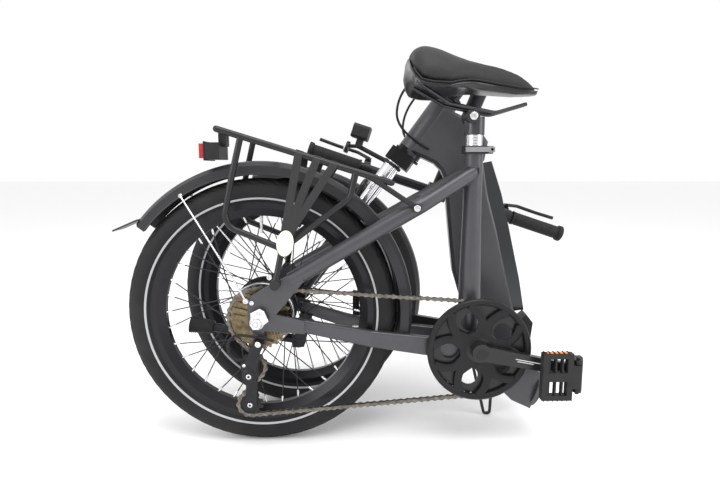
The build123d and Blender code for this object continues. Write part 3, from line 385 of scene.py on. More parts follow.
tyre_rubber = finish("tyre_rubber", (0.012, 0.012, 0.013), 0.66, mottle=0.22, patches=30, grain=1100,
                     depth=0.3,
                     dust=0.05, pattern=rubber_pattern)
for name, body, place in (("rear_tyre", "rear_wheel", rear), ("front_tyre", "front_wheel", front_wheel)):
    tyre, marks = tyre_skin()
    casing = make(name + "_casing", [tyre], tyre_rubber, body, place, smooth=50)
    casing.data.attributes.new("section", "FLOAT", "POINT").data.foreach_set("value", marks.ravel())
    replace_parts(casing, name)

# ---- Rims, spokes and hubs ----
# Deep black anodised rims, black steel spokes with bright nickel nipples, and a black motor in the rear hub.
# Each wheel has a plated valve stem.
rim_black = finish("black_anodised_rim", (0.017, 0.017, 0.019), 0.36, metal=0.6, mottle=0.1, grain=1400,
                   depth=0.08,
                   Coat_Weight=0.2, Coat_Roughness=0.25)
hub_black = finish("black_hub_shell", (0.016, 0.016, 0.017), 0.42, metal=0.35, mottle=0.2, grain=900,
                   depth=0.2)


def nipples(centre):
    """Spoke finish: black steel, nickel beyond 172.6 mm from the wheel's centre."""
    def pattern(point, colour, rough, height):
        reach = point.node("ShaderNodeVectorMath", {"operation": "DISTANCE"}, {0: point, 1: centre}, "Value")
        nickel = reach.above(0.1726, 0.0002)
        return blend_colour(nickel, colour, (0.74, 0.74, 0.76, 1)), rough - nickel * 0.12, height
    return pattern


for wheel, body in (("rear", "rear_wheel"), ("front", "front_wheel")):
    low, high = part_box(wheel + "_rim")
    centre = tuple((low + high) / 2)
    steel = finish(wheel + "_spoke_steel", (0.035, 0.035, 0.038), 0.34, metal=0.9, mottle=0.12, grain=2200,
                   depth=0.1,
                   pattern=nipples(centre))
    dress(steel, wheel + "_spokes")
dress(rim_black, "rear_rim", "front_rim")
dress(hub_black, "rear_hub_motor", "front_hub")
nickel = finish("nickel_plate", (0.62, 0.62, 0.64), 0.26, metal=1.0, mottle=0.12, patches=120, grain=2600,
                depth=0.1)
zinc = finish("zinc_plate", (0.5, 0.5, 0.5), 0.34, metal=1.0, mottle=0.2, patches=160, grain=2200, depth=0.16)
for body, place in (("rear_wheel", rear), ("front_wheel", front_wheel)):
    stem = [(3.2, 184.5), (3.2, 168), (2.7, 166), (2.7, 151)]
    grid = np.array([[(r * math.cos(a), r * math.sin(a), z) for a in np.linspace(0, 2 * np.pi, 12, False)]
                     for r, z in stem])
    make(body + "_valve", [skin(grid)], nickel, body, place)

motor_cap = []
for index in range(6):
    angle = math.radians(60 * index + 14)
    cap = turn_profile([(0.1, -34), (3.6, -34), (4.4, -33), (4.4, -28.5), (0.1, -28.5)], count=14)
    motor_cap.append(shifted(cap, 46 * math.cos(angle), 0, 46 * math.sin(angle)))
motor_cap.append(turn_profile([(56.5, -24.8), (59.6, -24.8), (60.6, -24), (56, -23.4)], count=72))
motor_cap.append(turn_profile([(20, -31.2), (33, -31.2), (33.6, -30), (20, -29.8)], count=60))
make("motor_cover_screws", motor_cap, zinc, "rear_wheel")

# ---- Cassette, axle ends and dropouts ----
# Seven bronze-coloured steel cogs on the hub, held by a lock ring; plated axle nuts and a keyed washer.
# The cogs are stamped plates with an oiled, slightly dirty surface.


def oily(point, colour, rough, height):
    """Dark oil film in patches over the plate."""
    film = noise(point, 130.0, 5.0).above(0.52, 0.12)
    return blend_colour(film * 0.62, colour, (0.05, 0.045, 0.04, 1)), rough - film * 0.05, height


bronze = finish("bronze_cog_steel", (0.19, 0.145, 0.085), 0.36, metal=1.0, mottle=0.25, patches=90,
                grain=1700, depth=0.2,
                pattern=oily)
dress(bronze, "cassette")
dress(zinc, "rear_axle", "hinge_pin")
lock_ring = [turn_profile([(9, -67), (16.4, -67), (17.4, -66), (17.4, -63.6), (9, -63.6)], count=48)]
for cog, teeth in enumerate((28, 24, 22, 20, 18, 16, 14)):
    pitch = 6.35 / math.sin(math.pi / teeth)
    side_y = -47 - 2.7 * cog - 1.05
    for number in range(0, teeth, 3):
        angle = 2 * math.pi * number / teeth
        ramp = turn_profile([(0.1, side_y - 0.5), (1.5, side_y - 0.45), (1.9, side_y), (0.1, side_y)],
                            count=8)
        reach = pitch - 6.4
        lock_ring.append(shifted(ramp, reach * math.cos(angle), 0, reach * math.sin(angle)))
make("cassette_lock_ring", lock_ring, bronze, "cassette")


def plate(outline, y0, y1):
    """Flat outline of (x, z) points carried from y0 to y1, ends closed."""
    outline = np.asarray(outline, float)
    rings = [np.stack([outline[:, 0], np.full(len(outline), y), outline[:, 1]], -1) for y in (y0, y1)]
    return skin(np.stack(rings))


def cap_screw(x, y, z, radius, height, side=-1, hollow=0.5):
    """Socket screw head on a Y axis: turned rim, rounded corner and a sunk round floor."""
    profile = [(0.05, 0), (radius, 0), (radius, height * 0.8), (radius * 0.85, height),
               (radius * hollow, height),
               (radius * hollow * 0.9, height * 0.45), (0.05, height * 0.45)]
    return shifted(turn_profile([(r, side * h) for r, h in profile], count=18), x, y, z)


washer = plate([(-9.3, 19.9), (6.8, 28.4), (14.8, 23.8), (22.4, 5.4), (13.8, -1.5), (-8.8, -3.4)], -85.4,
               -83.2)
washers = [washer, cap_screw(4, -86.2, 17, 4.2, 1.6), turn_profile(
    [(5.2, -89.2), (9.8, -89.2), (10.8, -88), (10.8, -85.4), (5.2, -85.4)], count=6)]
washers.append(turn_profile([(0.05, -92.5), (3.4, -92.5), (4.6, -91), (4.6, -88), (0.05, -88)], count=24))
for x, z, size in ((24.5, 82, 5.2), (-8, 36, 4.2)):
    washers.append(cap_screw(x, -74.2, z, size, 3.4))
for side in (-1, 1):
    washers.append(cap_screw(282.4, side * 72.2, 202.2, 6.0, 3.0, side, 0.42))
make("dropout_hardware", washers, nickel, "rear_frame", bevel=0.35)

# ---- Chain ----
# Half inch roller chain of bronze-grey plates, pressed pins and rollers, run over the cassette, the chainring
# and the two jockey wheels. Inner and outer links alternate.
chain_pitch, chain_y = 12.7, -47.0


def tangent_run(first, second):
    """Ends of the run between two circles (x, z, radius, sense), square to the radius at both ends."""
    across, up = second[0] - first[0], second[1] - first[1]
    reach = math.hypot(across, up)
    angle = math.atan2(up, across) + math.acos((first[3] * first[2] - second[3] * second[2]) / reach)
    way = np.array([math.cos(angle), math.sin(angle)])
    return np.array(first[:2]) + first[3] * first[2] * way, np.array(second[:2]) + second[3] * second[2] * way


def chain_line(circles):
    """Closed line of tangent runs and arcs, sampled about every millimetre."""
    runs = [tangent_run(circle, following) for circle, following in zip(circles, circles[1:] + circles[:1])]
    line = []
    for number, (leave, arrive) in enumerate(runs):
        x, z, radius, sense = circles[(number + 1) % len(circles)]
        after = runs[(number + 1) % len(circles)][0]
        steps = np.linspace(0, 1, int(np.linalg.norm(arrive - leave)), endpoint=False)[:, None]
        line.append(leave + (arrive - leave) * steps)
        begin, end = math.atan2(arrive[1] - z, arrive[0] - x), math.atan2(after[1] - z, after[0] - x)
        turn = ((begin - end) if sense > 0 else (end - begin)) % (2 * math.pi)
        angles = begin - sense * turn * np.linspace(0, 1, int(radius * turn) + 2, endpoint=False)
        line.append(np.stack([x + radius * np.cos(angles), z + radius * np.sin(angles)], -1))
    return np.concatenate(line)


lower_jockey = riding(28, 0, -163)[::2]
upper_jockey = riding(14, 0, -92)[::2]
hub_x, hub_z = 403.5, -61.0
pitch_circle = [chain_pitch / 2 / math.sin(math.pi / teeth) for teeth in (28, 44, 11)]
belt = chain_line([(0, 0, pitch_circle[0], 1), (hub_x, hub_z, pitch_circle[1], 1),
                   (*lower_jockey, pitch_circle[2], 1), (*upper_jockey, pitch_circle[2], -1)])
closed_belt = np.vstack([belt, belt[:1]])
run_length = np.concatenate([[0], np.cumsum(np.linalg.norm(np.diff(closed_belt, axis=0), axis=1))])
link_count = 2 * round(run_length[-1] / chain_pitch / 2)
pins = np.stack([np.interp(np.linspace(0, run_length[-1], link_count, endpoint=False), run_length,
                           closed_belt[:, axis])
                 for axis in (0, 1)], -1)
waist = [(-4.1, 0), (-2.9, 2.9), (0, 4.1), (3.2, 3.0), (6.35, 2.2), (9.5, 3.0), (12.7, 4.1), (15.6, 2.9),
         (16.8, 0),
         (15.6, -2.9), (12.7, -4.1), (9.5, -3.0), (6.35, -2.2), (3.2, -3.0), (0, -4.1), (-2.9, -2.9)]
links = []
for number in range(link_count):
    here, following = pins[number], pins[(number + 1) % link_count]
    way = (following - here) / np.linalg.norm(following - here)
    shape = np.array([here + along * way + high * np.array([-way[1], way[0]]) for along, high in waist])
    outer = number % 2
    for side in (-1, 1):
        near, far = sorted((side * (1.9 + 0.95 * outer), side * (2.75 + 0.95 * outer)))
        links.append(plate(shape, chain_y + near, chain_y + far))
    for radius, half in ((3.6, 1.7), (1.8, 4.5)):
        roller = turn_profile([(radius, -half), (radius, half)], count=8)
        links.append((roller[0] + np.array([here[0], chain_y, here[1]]),
                      roller[1] + [list(range(0, 16, 2))[::-1],
                                                                                    list(range(1, 16, 2))]))
chain_steel = finish("oiled_chain_steel", (0.19, 0.175, 0.15), 0.38, metal=0.95, mottle=0.3, patches=200,
                     grain=1800,
                     depth=0.2, pattern=oily)
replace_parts(make("roller_chain", links, chain_steel, "rear_frame"), "chain")

# ---- Derailleur ----
# Black cast arm and steel cage hung below the axle, with two moulded jockey wheels on plated bolts,
# a domed pivot cover, a return spring and the cable clamp.
cast_black = finish("black_cast_alloy", (0.024, 0.024, 0.026), 0.38, metal=0.5, mottle=0.25, patches=70,
                    grain=1000, depth=0.25)
moulded_black = finish("black_moulded_plastic", (0.019, 0.019, 0.02), 0.5, mottle=0.16, patches=60,
                       grain=1600, depth=0.22)
dress(cast_black, "derailleur")
dress(moulded_black, "upper_jockey_wheel", "lower_jockey_wheel")
bolts = [cap_screw(lower_jockey[0], -53.2, lower_jockey[1], 4.6, 3.2),
         cap_screw(upper_jockey[0], -93, upper_jockey[1], 4.8, 3),
         cap_screw(4, -92.2, -34, 5.2, 2.8), cap_screw(upper_jockey[0] - 8, -92.2, upper_jockey[1] + 20, 3,
                                                       2.4)]
make("derailleur_bolts", bolts, nickel, "rear_frame")
coil = np.linspace(0, 5 * 2 * np.pi, 120)
spring = np.stack([upper_jockey[0] + 6 * np.cos(coil), -62 - 1.9 * coil / 3,
                   upper_jockey[1] + 14 + 6 * np.sin(coil)], -1)
dome = turn_profile([(0.05, -96), (7, -95.4), (11, -93), (12.5, -88), (12.5, -83), (0.05, -83)], count=36)
dome = shifted(dome, upper_jockey[0], 0, upper_jockey[1] + 2)
make("derailleur_cover", [dome, carry(spring, oval(0.9, 0.9, 8))], cast_black, "rear_frame",
     bevel=0.4)

# ---- Crank set ----
# Forged black cranks on a sealed spindle, a steel chainring, and a moulded guard ring with five forked arms.
# The cranks carry a plain pale stripe; the spindle ends are closed with dust caps.
guard_plastic = finish("guard_plastic", (0.012, 0.012, 0.013), 0.4, mottle=0.12, patches=40, grain=1300,
                       depth=0.18)
crank_black = finish("crank_black", (0.02, 0.02, 0.021), 0.33, metal=0.35, mottle=0.14, patches=40,
                     grain=1200, depth=0.1,
                     Coat_Weight=0.3, Coat_Roughness=0.2)
dress(crank_black, "chainring")
dress(zinc, "crank_spindle")
dress(crank_black, "right_crank", "left_crank")
lean = -11.3


def at_crank(skins):
    """Moves skins made round zero to the crank's axis."""
    return [shifted(made, hub_x, 0, hub_z) for made in skins]


guard = [turn_profile([(84.5, -51.2), (84.5, -53.6), (86, -56.4), (89.5, -58.2), (94, -57.6), (96.4, -55),
                       (96.6, -51.2),
                       (93, -50.9), (88, -50.9)], count=144)]
for index in range(5):
    angle = math.radians(72 * index + 90 + lean)
    along = np.linspace(0, 1, 16)[:, None]
    reach = 24 + 34 * along
    stem = np.concatenate([reach * math.cos(angle), 0 * along - 54.8, reach * math.sin(angle)], 1)
    width = 17.5 - 5.0 * along + 1.5 * along ** 3
    pillow = oval(1, 0, 20, 0.7)[None] * width[:, :, None] + oval(0, 2.6, 20, 0.8)[None]
    guard.append(carry(stem, pillow,
                       (-math.sin(angle), 0, math.cos(angle))))
    for side in (-1, 1):
        sweep = angle + side * np.radians(5 + 19 * along ** 1.3)
        reach = 47 + 41 * along
        fork = np.concatenate([reach * np.cos(sweep), 0 * along - 54.6, reach * np.sin(sweep)], 1)
        width = 8.8 - 1.4 * np.sin(np.pi * along)
        guard.append(carry(fork, oval(1, 0, 16, 0.75)[None] * width[:, :, None] + oval(0, 2.7, 16, 0.8)[None],
                           (-math.sin(angle), 0, math.cos(angle))))
guard.append(turn_profile([(24, -51), (24, -57.4), (33, -57.6), (36, -56), (37, -51)], count=72))
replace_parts(make("guard_ring", at_crank(guard), guard_plastic, "crankset"), "chain_guard")

turn = math.radians(lean)
cap = turn_profile([(0.05, -76.4), (7, -76.2), (10.5, -75.2), (11.5, -74.1), (0.05, -74.1)], count=40)
left_cap = turn_profile([(0.05, 76.4), (7, 76.2), (10.5, 75.2), (11.5, 74.1), (0.05, 74.1)], count=40)
make("crank_dust_caps", at_crank([cap, left_cap]), moulded_black, "crankset")
stripe = []
for start, end, offset in ((62, 108, 1.8), (66, 96, -1.8)):
    along = np.array([[start, offset - 0.7], [end, offset - 0.7], [end + 2, offset + 0.7],
                      [start + 2, offset + 0.7]])
    turned = [(x * math.cos(turn) - z * math.sin(turn), x * math.sin(turn) + z * math.cos(turn)) for x,
              z in along]
    stripe.append(plate(turned, -74.25, -74.02))
pale_print = finish("pale_print", (0.6, 0.6, 0.61), 0.45, mottle=0.08, depth=0.03)
make("crank_stripe", at_crank(stripe), pale_print, "crankset")

# ---- Folding pedals ----
# Moulded black platforms with toothed edges, hinged to fold flat beside the cranks, with amber reflectors.
# The hinge barrel runs on a steel pin in the pedal hub.
amber = finish("amber_reflector", (0.85, 0.27, 0.02), 0.2, mottle=0.1, patches=90, grain=2600, depth=0.5,
               Coat_Weight=0.6,
               Coat_Roughness=0.08)
dress(moulded_black, "right_pedal_body", "left_pedal_body")
dress(cast_black, "right_pedal_hub", "left_pedal_hub")
for side, name in ((-1, "right"), (1, "left")):
    angle = turn if side < 0 else turn + math.pi
    px, pz = hub_x + 170 * math.cos(angle), hub_z + 170 * math.sin(angle)
    teeth, lenses = [], []
    for edge_z in (-43, 43):
        flat = 1 if edge_z > 0 else -1
        for number in range(6):
            x = px - 18 - 8.4 * number
            teeth.append(plate([(x, pz + edge_z - flat * 0.5), (x - 2.6, pz + edge_z + flat * 2.6),
                                (x - 5.2, pz + edge_z - flat * 0.5)], side * 92.5, side * 103.5))
        lenses.append(plate([(px - 20, pz + edge_z - flat * 1.2), (px - 20, pz + edge_z + flat * 1.0),
                             (px - 58, pz + edge_z + flat * 1.0), (px - 58, pz + edge_z - flat * 1.2)],
                            side * 95.5, side * 101.5))
    for x_step in (30, 42, 54):
        rib = carry([(px - x_step, side * 98, pz - 33), (px - x_step, side * 98, pz + 33)],
                    oval(2.0, 5.2, 12, 0.5), (1, 0, 0))
        teeth.append(rib)
    body = name + "_pedal"
    make(name + "_pedal_ribs", teeth, moulded_black, body, bevel=0.3)
    make(name + "_pedal_reflectors", lenses, amber, body, bevel=0.4)

# ---- Mudguards and their stays ----
# Arched plastic mudguards in matte dark grey over both tyres, carried on bright steel wires and small screws.
# The rolled edges stiffen the skirts.
guard_grey = finish("mudguard_grey", (0.024, 0.024, 0.026), 0.46, mottle=0.08, patches=18, grain=1500,
                    depth=0.12,
                    dust=0.03, Coat_Weight=0.12, Coat_Roughness=0.35)
dress(guard_grey, "rear_mudguard", "front_mudguard")
dress(nickel, "mudguard_stays")
edges = []
for side in (-1, 1):
    angle = np.radians(np.linspace(-12.6, 142.4, 120))
    rim_line = np.stack([261.2 * np.cos(angle), np.full(120, side * 27.0), 261.2 * np.sin(angle)], -1)
    edges.append(carry(rim_line, oval(1.6, 1.6, 8)))
make("rear_mudguard_rolled_edges", edges, guard_grey, "rear_frame")
screws = [cap_screw(-18, side * 79.4, 40, 4.2, 2.6, side) for side in (-1, 1)]
for side in (-1, 1):
    angle = math.radians(122)
    screws.append(cap_screw(262 * math.cos(angle), side * 28.4, 262 * math.sin(angle), 4.0, 3.4, side))
make("mudguard_screws", screws, nickel, "rear_frame")
edges = []
for side in (-1, 1):
    angle = np.radians(np.linspace(52.6, 173.4, 100))
    rim_line = np.stack([252.2 * np.cos(angle), np.full(100, side * 27.0), 252.2 * np.sin(angle)], -1)
    edges.append(carry(rim_line, oval(1.6, 1.6, 8)))
make("front_mudguard_rolled_edges", edges, guard_grey, "fork_slider", front_wheel)

# ---- Luggage rack, elastic straps and tail light ----
# Black tube rack with welded cross rails, three woven elastic straps on each side with a pale oval tag,
# and a battery tail light with a ribbed red lens under its rear end.
rack_black = finish("rack_black", (0.017, 0.017, 0.018), 0.38, metal=0.2, mottle=0.1, patches=40, grain=1200,
                    depth=0.16,
                    Coat_Weight=0.25, Coat_Roughness=0.25)
dress(rack_black, "luggage_rack")


def weave(point, colour, rough, height):
    """Elastic webbing: crossed ribs of two wave textures a millimetre apart."""
    warp = point.node("ShaderNodeTexWave", {"bands_direction": "DIAGONAL"}, {"Vector": point, "Scale": 260.0})
    weft = point.node("ShaderNodeTexWave", {"bands_direction": "Z"}, {"Vector": point, "Scale": 420.0})
    ribs = warp.node("ShaderNodeMath", {"operation": "MAXIMUM"},
                     {0: warp.node("ShaderNodeSeparateColor", {}, {0: warp}),
                                                                 1: weft.node("ShaderNodeSeparateColor", {},
                                                                              {0: weft})})
    return blend_colour(ribs * 0.5, colour, (0.05, 0.05, 0.052, 1)), rough + ribs * 0.05, ribs


strap_black = finish("strap_webbing", (0.022, 0.022, 0.023), 0.8, mottle=0.15, depth=0.5, pattern=weave)
straps, hooks = [], []
for index, x in enumerate((-12, 20, 50)):
    for side in (-1, 1):
        top = np.array(riding(x, side * 67.4, 303))
        over = np.array(riding(x, side * 60, 311.6))
        low = np.array(riding(4 + index * 3, side * 81.5, 165))
        along = np.linspace(0, 1, 22)[:, None]
        line = top + (low - top) * along + np.array([0, side * 1.6, 0]) * np.sin(np.pi * along)
        line = np.concatenate([[over], line])
        straps.append(carry(line, oval(7.0, 0.9, 12, 0.6), (math.cos(tip_angle), 0, -math.sin(tip_angle))))
for side in (-1, 1):
    hooks.append(carry(np.array([riding(7 + 7 * math.cos(a), side * 82, 160 + 6 * math.sin(a))
                                 for a in np.linspace(-math.pi, 0.3, 20)]), oval(1.8, 1.8, 10)))
webbing = make("elastic_bands", straps, strap_black, "rear_frame")
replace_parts(webbing, "elastic_straps")
make("strap_hooks", hooks, zinc, "rear_frame")
cream = finish("cream_tag", (0.78, 0.75, 0.6), 0.42, mottle=0.06, patches=90, grain=900, depth=0.12)
tag_place = np.array([53.6, -84.0, 143.0])
tag = turn_profile([(0.05, -1.8), (0.7, -1.7), (0.92, -1.1), (1.0, 0), (1.0, 1.0), (0.05, 1.0)], count=56)
tag_points = tag[0] * np.array([14.6, 1, 22.6])
tag_turn = math.radians(8)
tag_points = np.stack([tag_points[:, 0] * math.cos(tag_turn) + tag_points[:, 2] * math.sin(tag_turn),
                       tag_points[:, 1],
                       tag_points[:, 2] * math.cos(tag_turn) - tag_points[:, 0] * math.sin(tag_turn)], -1)
make("strap_tag", [(tag_points + tag_place, tag[1])], cream, "rear_frame")

red_lens = finish("red_lens", (0.34, 0.009, 0.011), 0.14, mottle=0.12, patches=120, grain=3000, depth=0.1,
                  Coat_Weight=0.8,
                  Coat_Roughness=0.05)
dress(moulded_black, "tail_light")
dress(red_lens, "tail_light_lens")
lens_ribs = []
light_x, light_z = riding(-172, 0, 262)[0], riding(-172, 0, 262)[2]
for number in range(9):
    y = -28 + 7 * number
    lens_ribs.append(carry([(light_x - 13.6, y, light_z - 10), (light_x - 13.9, y, light_z + 12)],
                           oval(2.6, 1.1, 10), (0, 1, 0)))
make("tail_lens_ribs", lens_ribs, red_lens, "rear_frame")
bezel = carry([(light_x - 4.5, y, z) for y, z in ((-34, light_z - 14), (34, light_z - 14), (34, light_z + 16),
                                                (-34, light_z + 16))], oval(1.6, 2.2, 8, 0.6), (1, 0, 0),
              True)
make("tail_lamp_bezel", [bezel], moulded_black, "rear_frame")

# ---- Seatpost, collar and saddle ----
# Polished alloy post with height marks in an upright tube, clamped by a collar with a quick lever.
# The saddle is a padded cover stretched over a moulded base with a glossy skirt, on steel rails.
low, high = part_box("seatpost")
post_x, post_y, post_top = (low.x + high.x) / 2, (low.y + high.y) / 2, high.z


def height_marks(point, colour, rough, height):
    """Engraved ticks every 5 mm on the post's near face, a fine brushed grain round it."""
    split = {"Vector": point}
    x, z = (point.node("ShaderNodeSeparateXYZ", {}, split, axis) for axis in ("X", "Z"))
    step = z.math("FRACT", (z - post_top) / 0.005, 0.0)
    tick = 1.0 - step.above(0.16, 0.03)
    off = x - (post_x - 0.001)
    lane = 1.0 - off.math("ABSOLUTE", off, 0.0).above(0.0035, 0.0002)
    y = point.node("ShaderNodeSeparateXYZ", {}, split, "Y")
    face = 1.0 - y.above(post_y, 0.0005)
    mark = tick * lane * face
    return blend_colour(mark, colour, (0.05, 0.05, 0.05, 1)), rough + mark * 0.2, height - mark * 0.4


post_alloy = finish("post_alloy", (0.66, 0.66, 0.68), 0.27, metal=1.0, mottle=0.06, patches=60, grain=900,
                    depth=0.06,
                    stretch=(1, 1, 14), pattern=height_marks)
dress(post_alloy, "seatpost")
lever_grey = finish("lever_alloy", (0.3, 0.3, 0.31), 0.38, metal=0.9, mottle=0.12, grain=1200, depth=0.12)
dress(cast_black, "seat_collar")
dress(lever_grey, "seat_clamp_lever")
rail_steel = finish("rail_steel", (0.06, 0.06, 0.065), 0.3, metal=0.9, mottle=0.15, patches=90, grain=1400,
                    depth=0.12)
dress(rail_steel, "saddle_rails")
nut_rings = [turn_profile([(6.6, 9.5), (7.4, 10), (7.4, 15.5), (6.6, 16), (2.6, 16), (2.6, 9.5)], count=10)]
nut_rings = [shifted(ring, 422.0, 0, 305.0) for ring in nut_rings]
make("collar_nut", nut_rings, cast_black, "rear_frame")
saddle_x = np.array([122, 128, 138, 150, 170, 200, 225, 252, 285, 326, 346, 358, 364, 366.0])
saddle_half = np.array([20, 60, 80, 88, 89.5, 84, 68, 46, 33, 26, 22, 16.5, 10, 3.0])
saddle_top = np.array([528, 541, 549, 552.5, 553.5, 550.5, 549.5, 552, 556.5, 555.5, 551, 546, 542, 537.0])
saddle_low = np.array([516, 506, 502, 500, 500, 503, 507, 511, 516, 523, 528, 531, 533, 535.0])


def along_saddle(ticks, table, rounds=3):
    """A saddle table read at ticks, then smoothed with the weights 1/4, 1/2, 1/4 for some rounds."""
    line = np.interp(ticks, np.arange(len(table)), table)
    for _ in range(rounds):
        line[1:-1] = 0.25 * line[:-2] + 0.5 * line[1:-1] + 0.25 * line[2:]
    return line


def wing_droop(x, y):
    """Droop of the saddle's wings: the square of the distance from the middle, deepest over the wide rear."""
    deepest = np.interp(x, [122, 150, 200, 250, 300], [20, 27, 22, 9, 0])
    return deepest * (y / 88.0) ** 2


def saddle_form(shrink, rows=96, columns=56, lower=0.0):
    """Closed form along the saddle: at each station an oval of the station's half width and half height,
    squared towards the skirt, flattened on top, with a shallow channel down the middle."""
    ticks = np.linspace(0, len(saddle_x) - 1, rows)
    x = along_saddle(ticks, saddle_x, 0)
    half, top, low = (along_saddle(ticks, table) for table in (saddle_half, saddle_top, saddle_low))
    low = low - lower
    half, top, low = half - shrink, top - shrink, low + shrink
    angle = np.linspace(0, 2 * np.pi, columns, endpoint=False)
    wide, high = np.cos(angle), np.sin(angle)
    power = np.where(high > 0, 0.86, 0.5)
    y = half[:, None] * np.sign(wide) * abs(wide) ** 0.72
    middle = (low * 0.62 + top * 0.38)[:, None]
    z = middle + np.where(high > 0, top[:, None] - middle, low[:, None] - middle) * abs(high) ** power
    z = z - 3.2 * np.exp(-(y / 7.0) ** 2) * (high > 0) * (x[:, None] > 140) * (x[:, None] < 350)
    z = z - wing_droop(x[:, None], y)
    grid = np.stack(riding(np.broadcast_to(x[:, None], y.shape), y, z), -1)
    return skin(grid)


def leather(point, colour, rough, height):
    """Fine pebbled grain: distances to Voronoi cells a millimetre across, folded into the bump."""
    cell = point.node("ShaderNodeTexVoronoi", {}, {"Vector": point, "Scale": 950.0}, "Distance")
    return blend_colour(cell * 0.35, colour, (0.045, 0.045, 0.046,
                                              1)), rough + cell * 0.1, height * 0.4 + cell


cover_black = finish("saddle_cover", (0.017, 0.017, 0.018), 0.47, mottle=0.12, patches=35, depth=0.4,
                     pattern=leather)
pad = make("saddle_cushion", [saddle_form(1.6)], cover_black, "seat", smooth=60)
scene = bpy.context.scene
remesh = pad.modifiers.new("even mesh", "REMESH")
remesh.mode, remesh.voxel_size = "VOXEL", 0.0042
bpy.context.view_layer.update()
even = bpy.data.meshes.new_from_object(pad.evaluated_get(bpy.context.evaluated_depsgraph_get()))
pad.modifiers.remove(remesh)
pad.data = even
rest_points = np.zeros(len(even.vertices) * 3, np.float32)
even.vertices.foreach_get("co", rest_points)
rest_points = rest_points.reshape(-1, 3)
cloth = pad.modifiers.new("swell", "CLOTH")
cloth.settings.use_pressure, cloth.settings.uniform_pressure_force = True, 4.0
cloth.settings.effector_weights.gravity = 0.0
for number in range(1, 21):
    scene.frame_set(number)
swollen = bpy.data.meshes.new_from_object(pad.evaluated_get(bpy.context.evaluated_depsgraph_get()))
moved = np.zeros(len(swollen.vertices) * 3, np.float32)
swollen.vertices.foreach_get("co", moved)
step = moved.reshape(-1, 3) - rest_points
size = np.linalg.norm(step, axis=1)[:, None]
step *= np.minimum(1.0, 0.003 / np.maximum(size, 1e-9))
pad.modifiers.remove(cloth)
even.vertices.foreach_set("co", (rest_points + step).ravel())
even.polygons.foreach_set("use_smooth", np.ones(len(even.polygons), bool))
scene.frame_set(1)
soft = pad.modifiers.new("round", "SUBSURF")
soft.levels = soft.render_levels = 1
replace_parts(pad, "saddle_pad")
gloss_skirt = finish("glossy_skirt", (0.014, 0.014, 0.015), 0.3, mottle=0.1, patches=40, grain=1500,
                     depth=0.05,
                     Coat_Weight=0.25, Coat_Roughness=0.2)


def saddle_base():
    """Moulded base under the cushion: the saddle's outline drawn in, dished downwards as a shallow tray."""
    ticks = np.linspace(0, len(saddle_x) - 1, 90)
    x = along_saddle(ticks, saddle_x, 0)
    half, low = along_saddle(ticks, saddle_half), along_saddle(ticks, saddle_low)
    angle = np.linspace(0, 2 * np.pi, 40, endpoint=False)
    wide, high = np.cos(angle), np.sin(angle)
    y = (half - 0.5)[:, None] * np.sign(wide) * abs(wide) ** 0.55
    drop = (5.0 + 6.0 * np.sin(np.pi * np.clip((x - 122) / 244, 0, 1)))[:, None]
    z = (low + 4.5)[:, None] + np.where(high > 0, 3.0, drop) * np.sign(high) * abs(high) ** 0.5
    z = z - wing_droop(x[:, None], y)
    return skin(np.stack(riding(np.broadcast_to(x[:, None], y.shape), y, z), -1))


base = make("saddle_base", [saddle_base()], gloss_skirt, "seat", smooth=40)
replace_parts(base, "saddle_shell")
seams = []
for side in (-1, 1):
    ticks = np.linspace(1.5, len(saddle_x) - 2.2, 120)
    x, low = along_saddle(ticks, saddle_x, 0), along_saddle(ticks, saddle_low, 0)
    half = along_saddle(ticks, saddle_half, 4)
    line = np.stack(riding(x, side * (half + 0.4), low + 10.0 - wing_droop(x, half)), -1)
    seams.append(carry(line, oval(1.2, 1.2, 8), (0, 0, 1)))
make("saddle_piping", seams, cover_black, "seat")
clamp_bolts = []
for side in (-1, 1):
    bolt = turn_profile([(0.05, 0), (6.5, 0), (7.2, 1), (7.2, 5), (5, 6.5), (0.05, 6.5)], count=24)
    clamp_bolts.append((np.stack([bolt[0][:, 0] + 387, side * (24 + bolt[0][:, 1]), bolt[0][:, 2] + 364],
                                 -1), bolt[1]))
make("saddle_clamp_bolts", clamp_bolts, zinc, "seat")

# ---- Kickstand and rest loop ----
# Cast stand with a fat rubber foot, folded up behind the left chainstay, and a bent wire loop under the front
# beam, the third foot of the folded bicycle.
dress(cast_black, "kickstand_leg", "kickstand_bracket")
foot_rubber = finish("foot_rubber", (0.02, 0.02, 0.021), 0.62, mottle=0.15, patches=50, grain=900,
                     depth=0.35, dust=0.06)
stand_start = np.array(riding(80, 66, -58))
stand_end = np.array(riding(-142, 66, -90))
along = np.concatenate([[0.78], np.linspace(0.785, 0.992, 24), [1.0]])
radius = 13 + 4.4 * (along - 0.78) / 0.22
radius = radius + 0.5 * np.sin(along * 330)
radius[0], radius[-1] = 10.5, 11.0
line = stand_start + (stand_end - stand_start) * along[:, None]
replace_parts(make("kickstand_shoe", [carry(line, oval(1, 1, 28)[None] * radius[:, None, None])], foot_rubber,
                 "kickstand",
                 smooth=70), "kickstand_foot")
dress(rack_black, "rest_loop")

# ---- Front beam: battery, cover and latches ----
# Glossy black battery bar set in the beam's upper face, a matte cover beside the hinge, cast latches,
# a key lock and screws.
battery_gloss = finish("battery_gloss", (0.011, 0.012, 0.014), 0.16, mottle=0.08, patches=25, grain=1500,
                       depth=0.02,
                       Coat_Weight=0.7, Coat_Roughness=0.06)
dress(battery_gloss, "battery")
dress(moulded_black, "controller_cover")
dress(cast_black, "frame_latch", "stem_latch")
lock = [cap_screw(800, -30.2, 436, 7.5, 1.6), cap_screw(700, -30.2, 240, 4.2, 1.5),
        cap_screw(612, -30.2, 60, 4.2, 1.5)]
make("frame_lock_and_screws", lock, zinc, "front_frame", front)

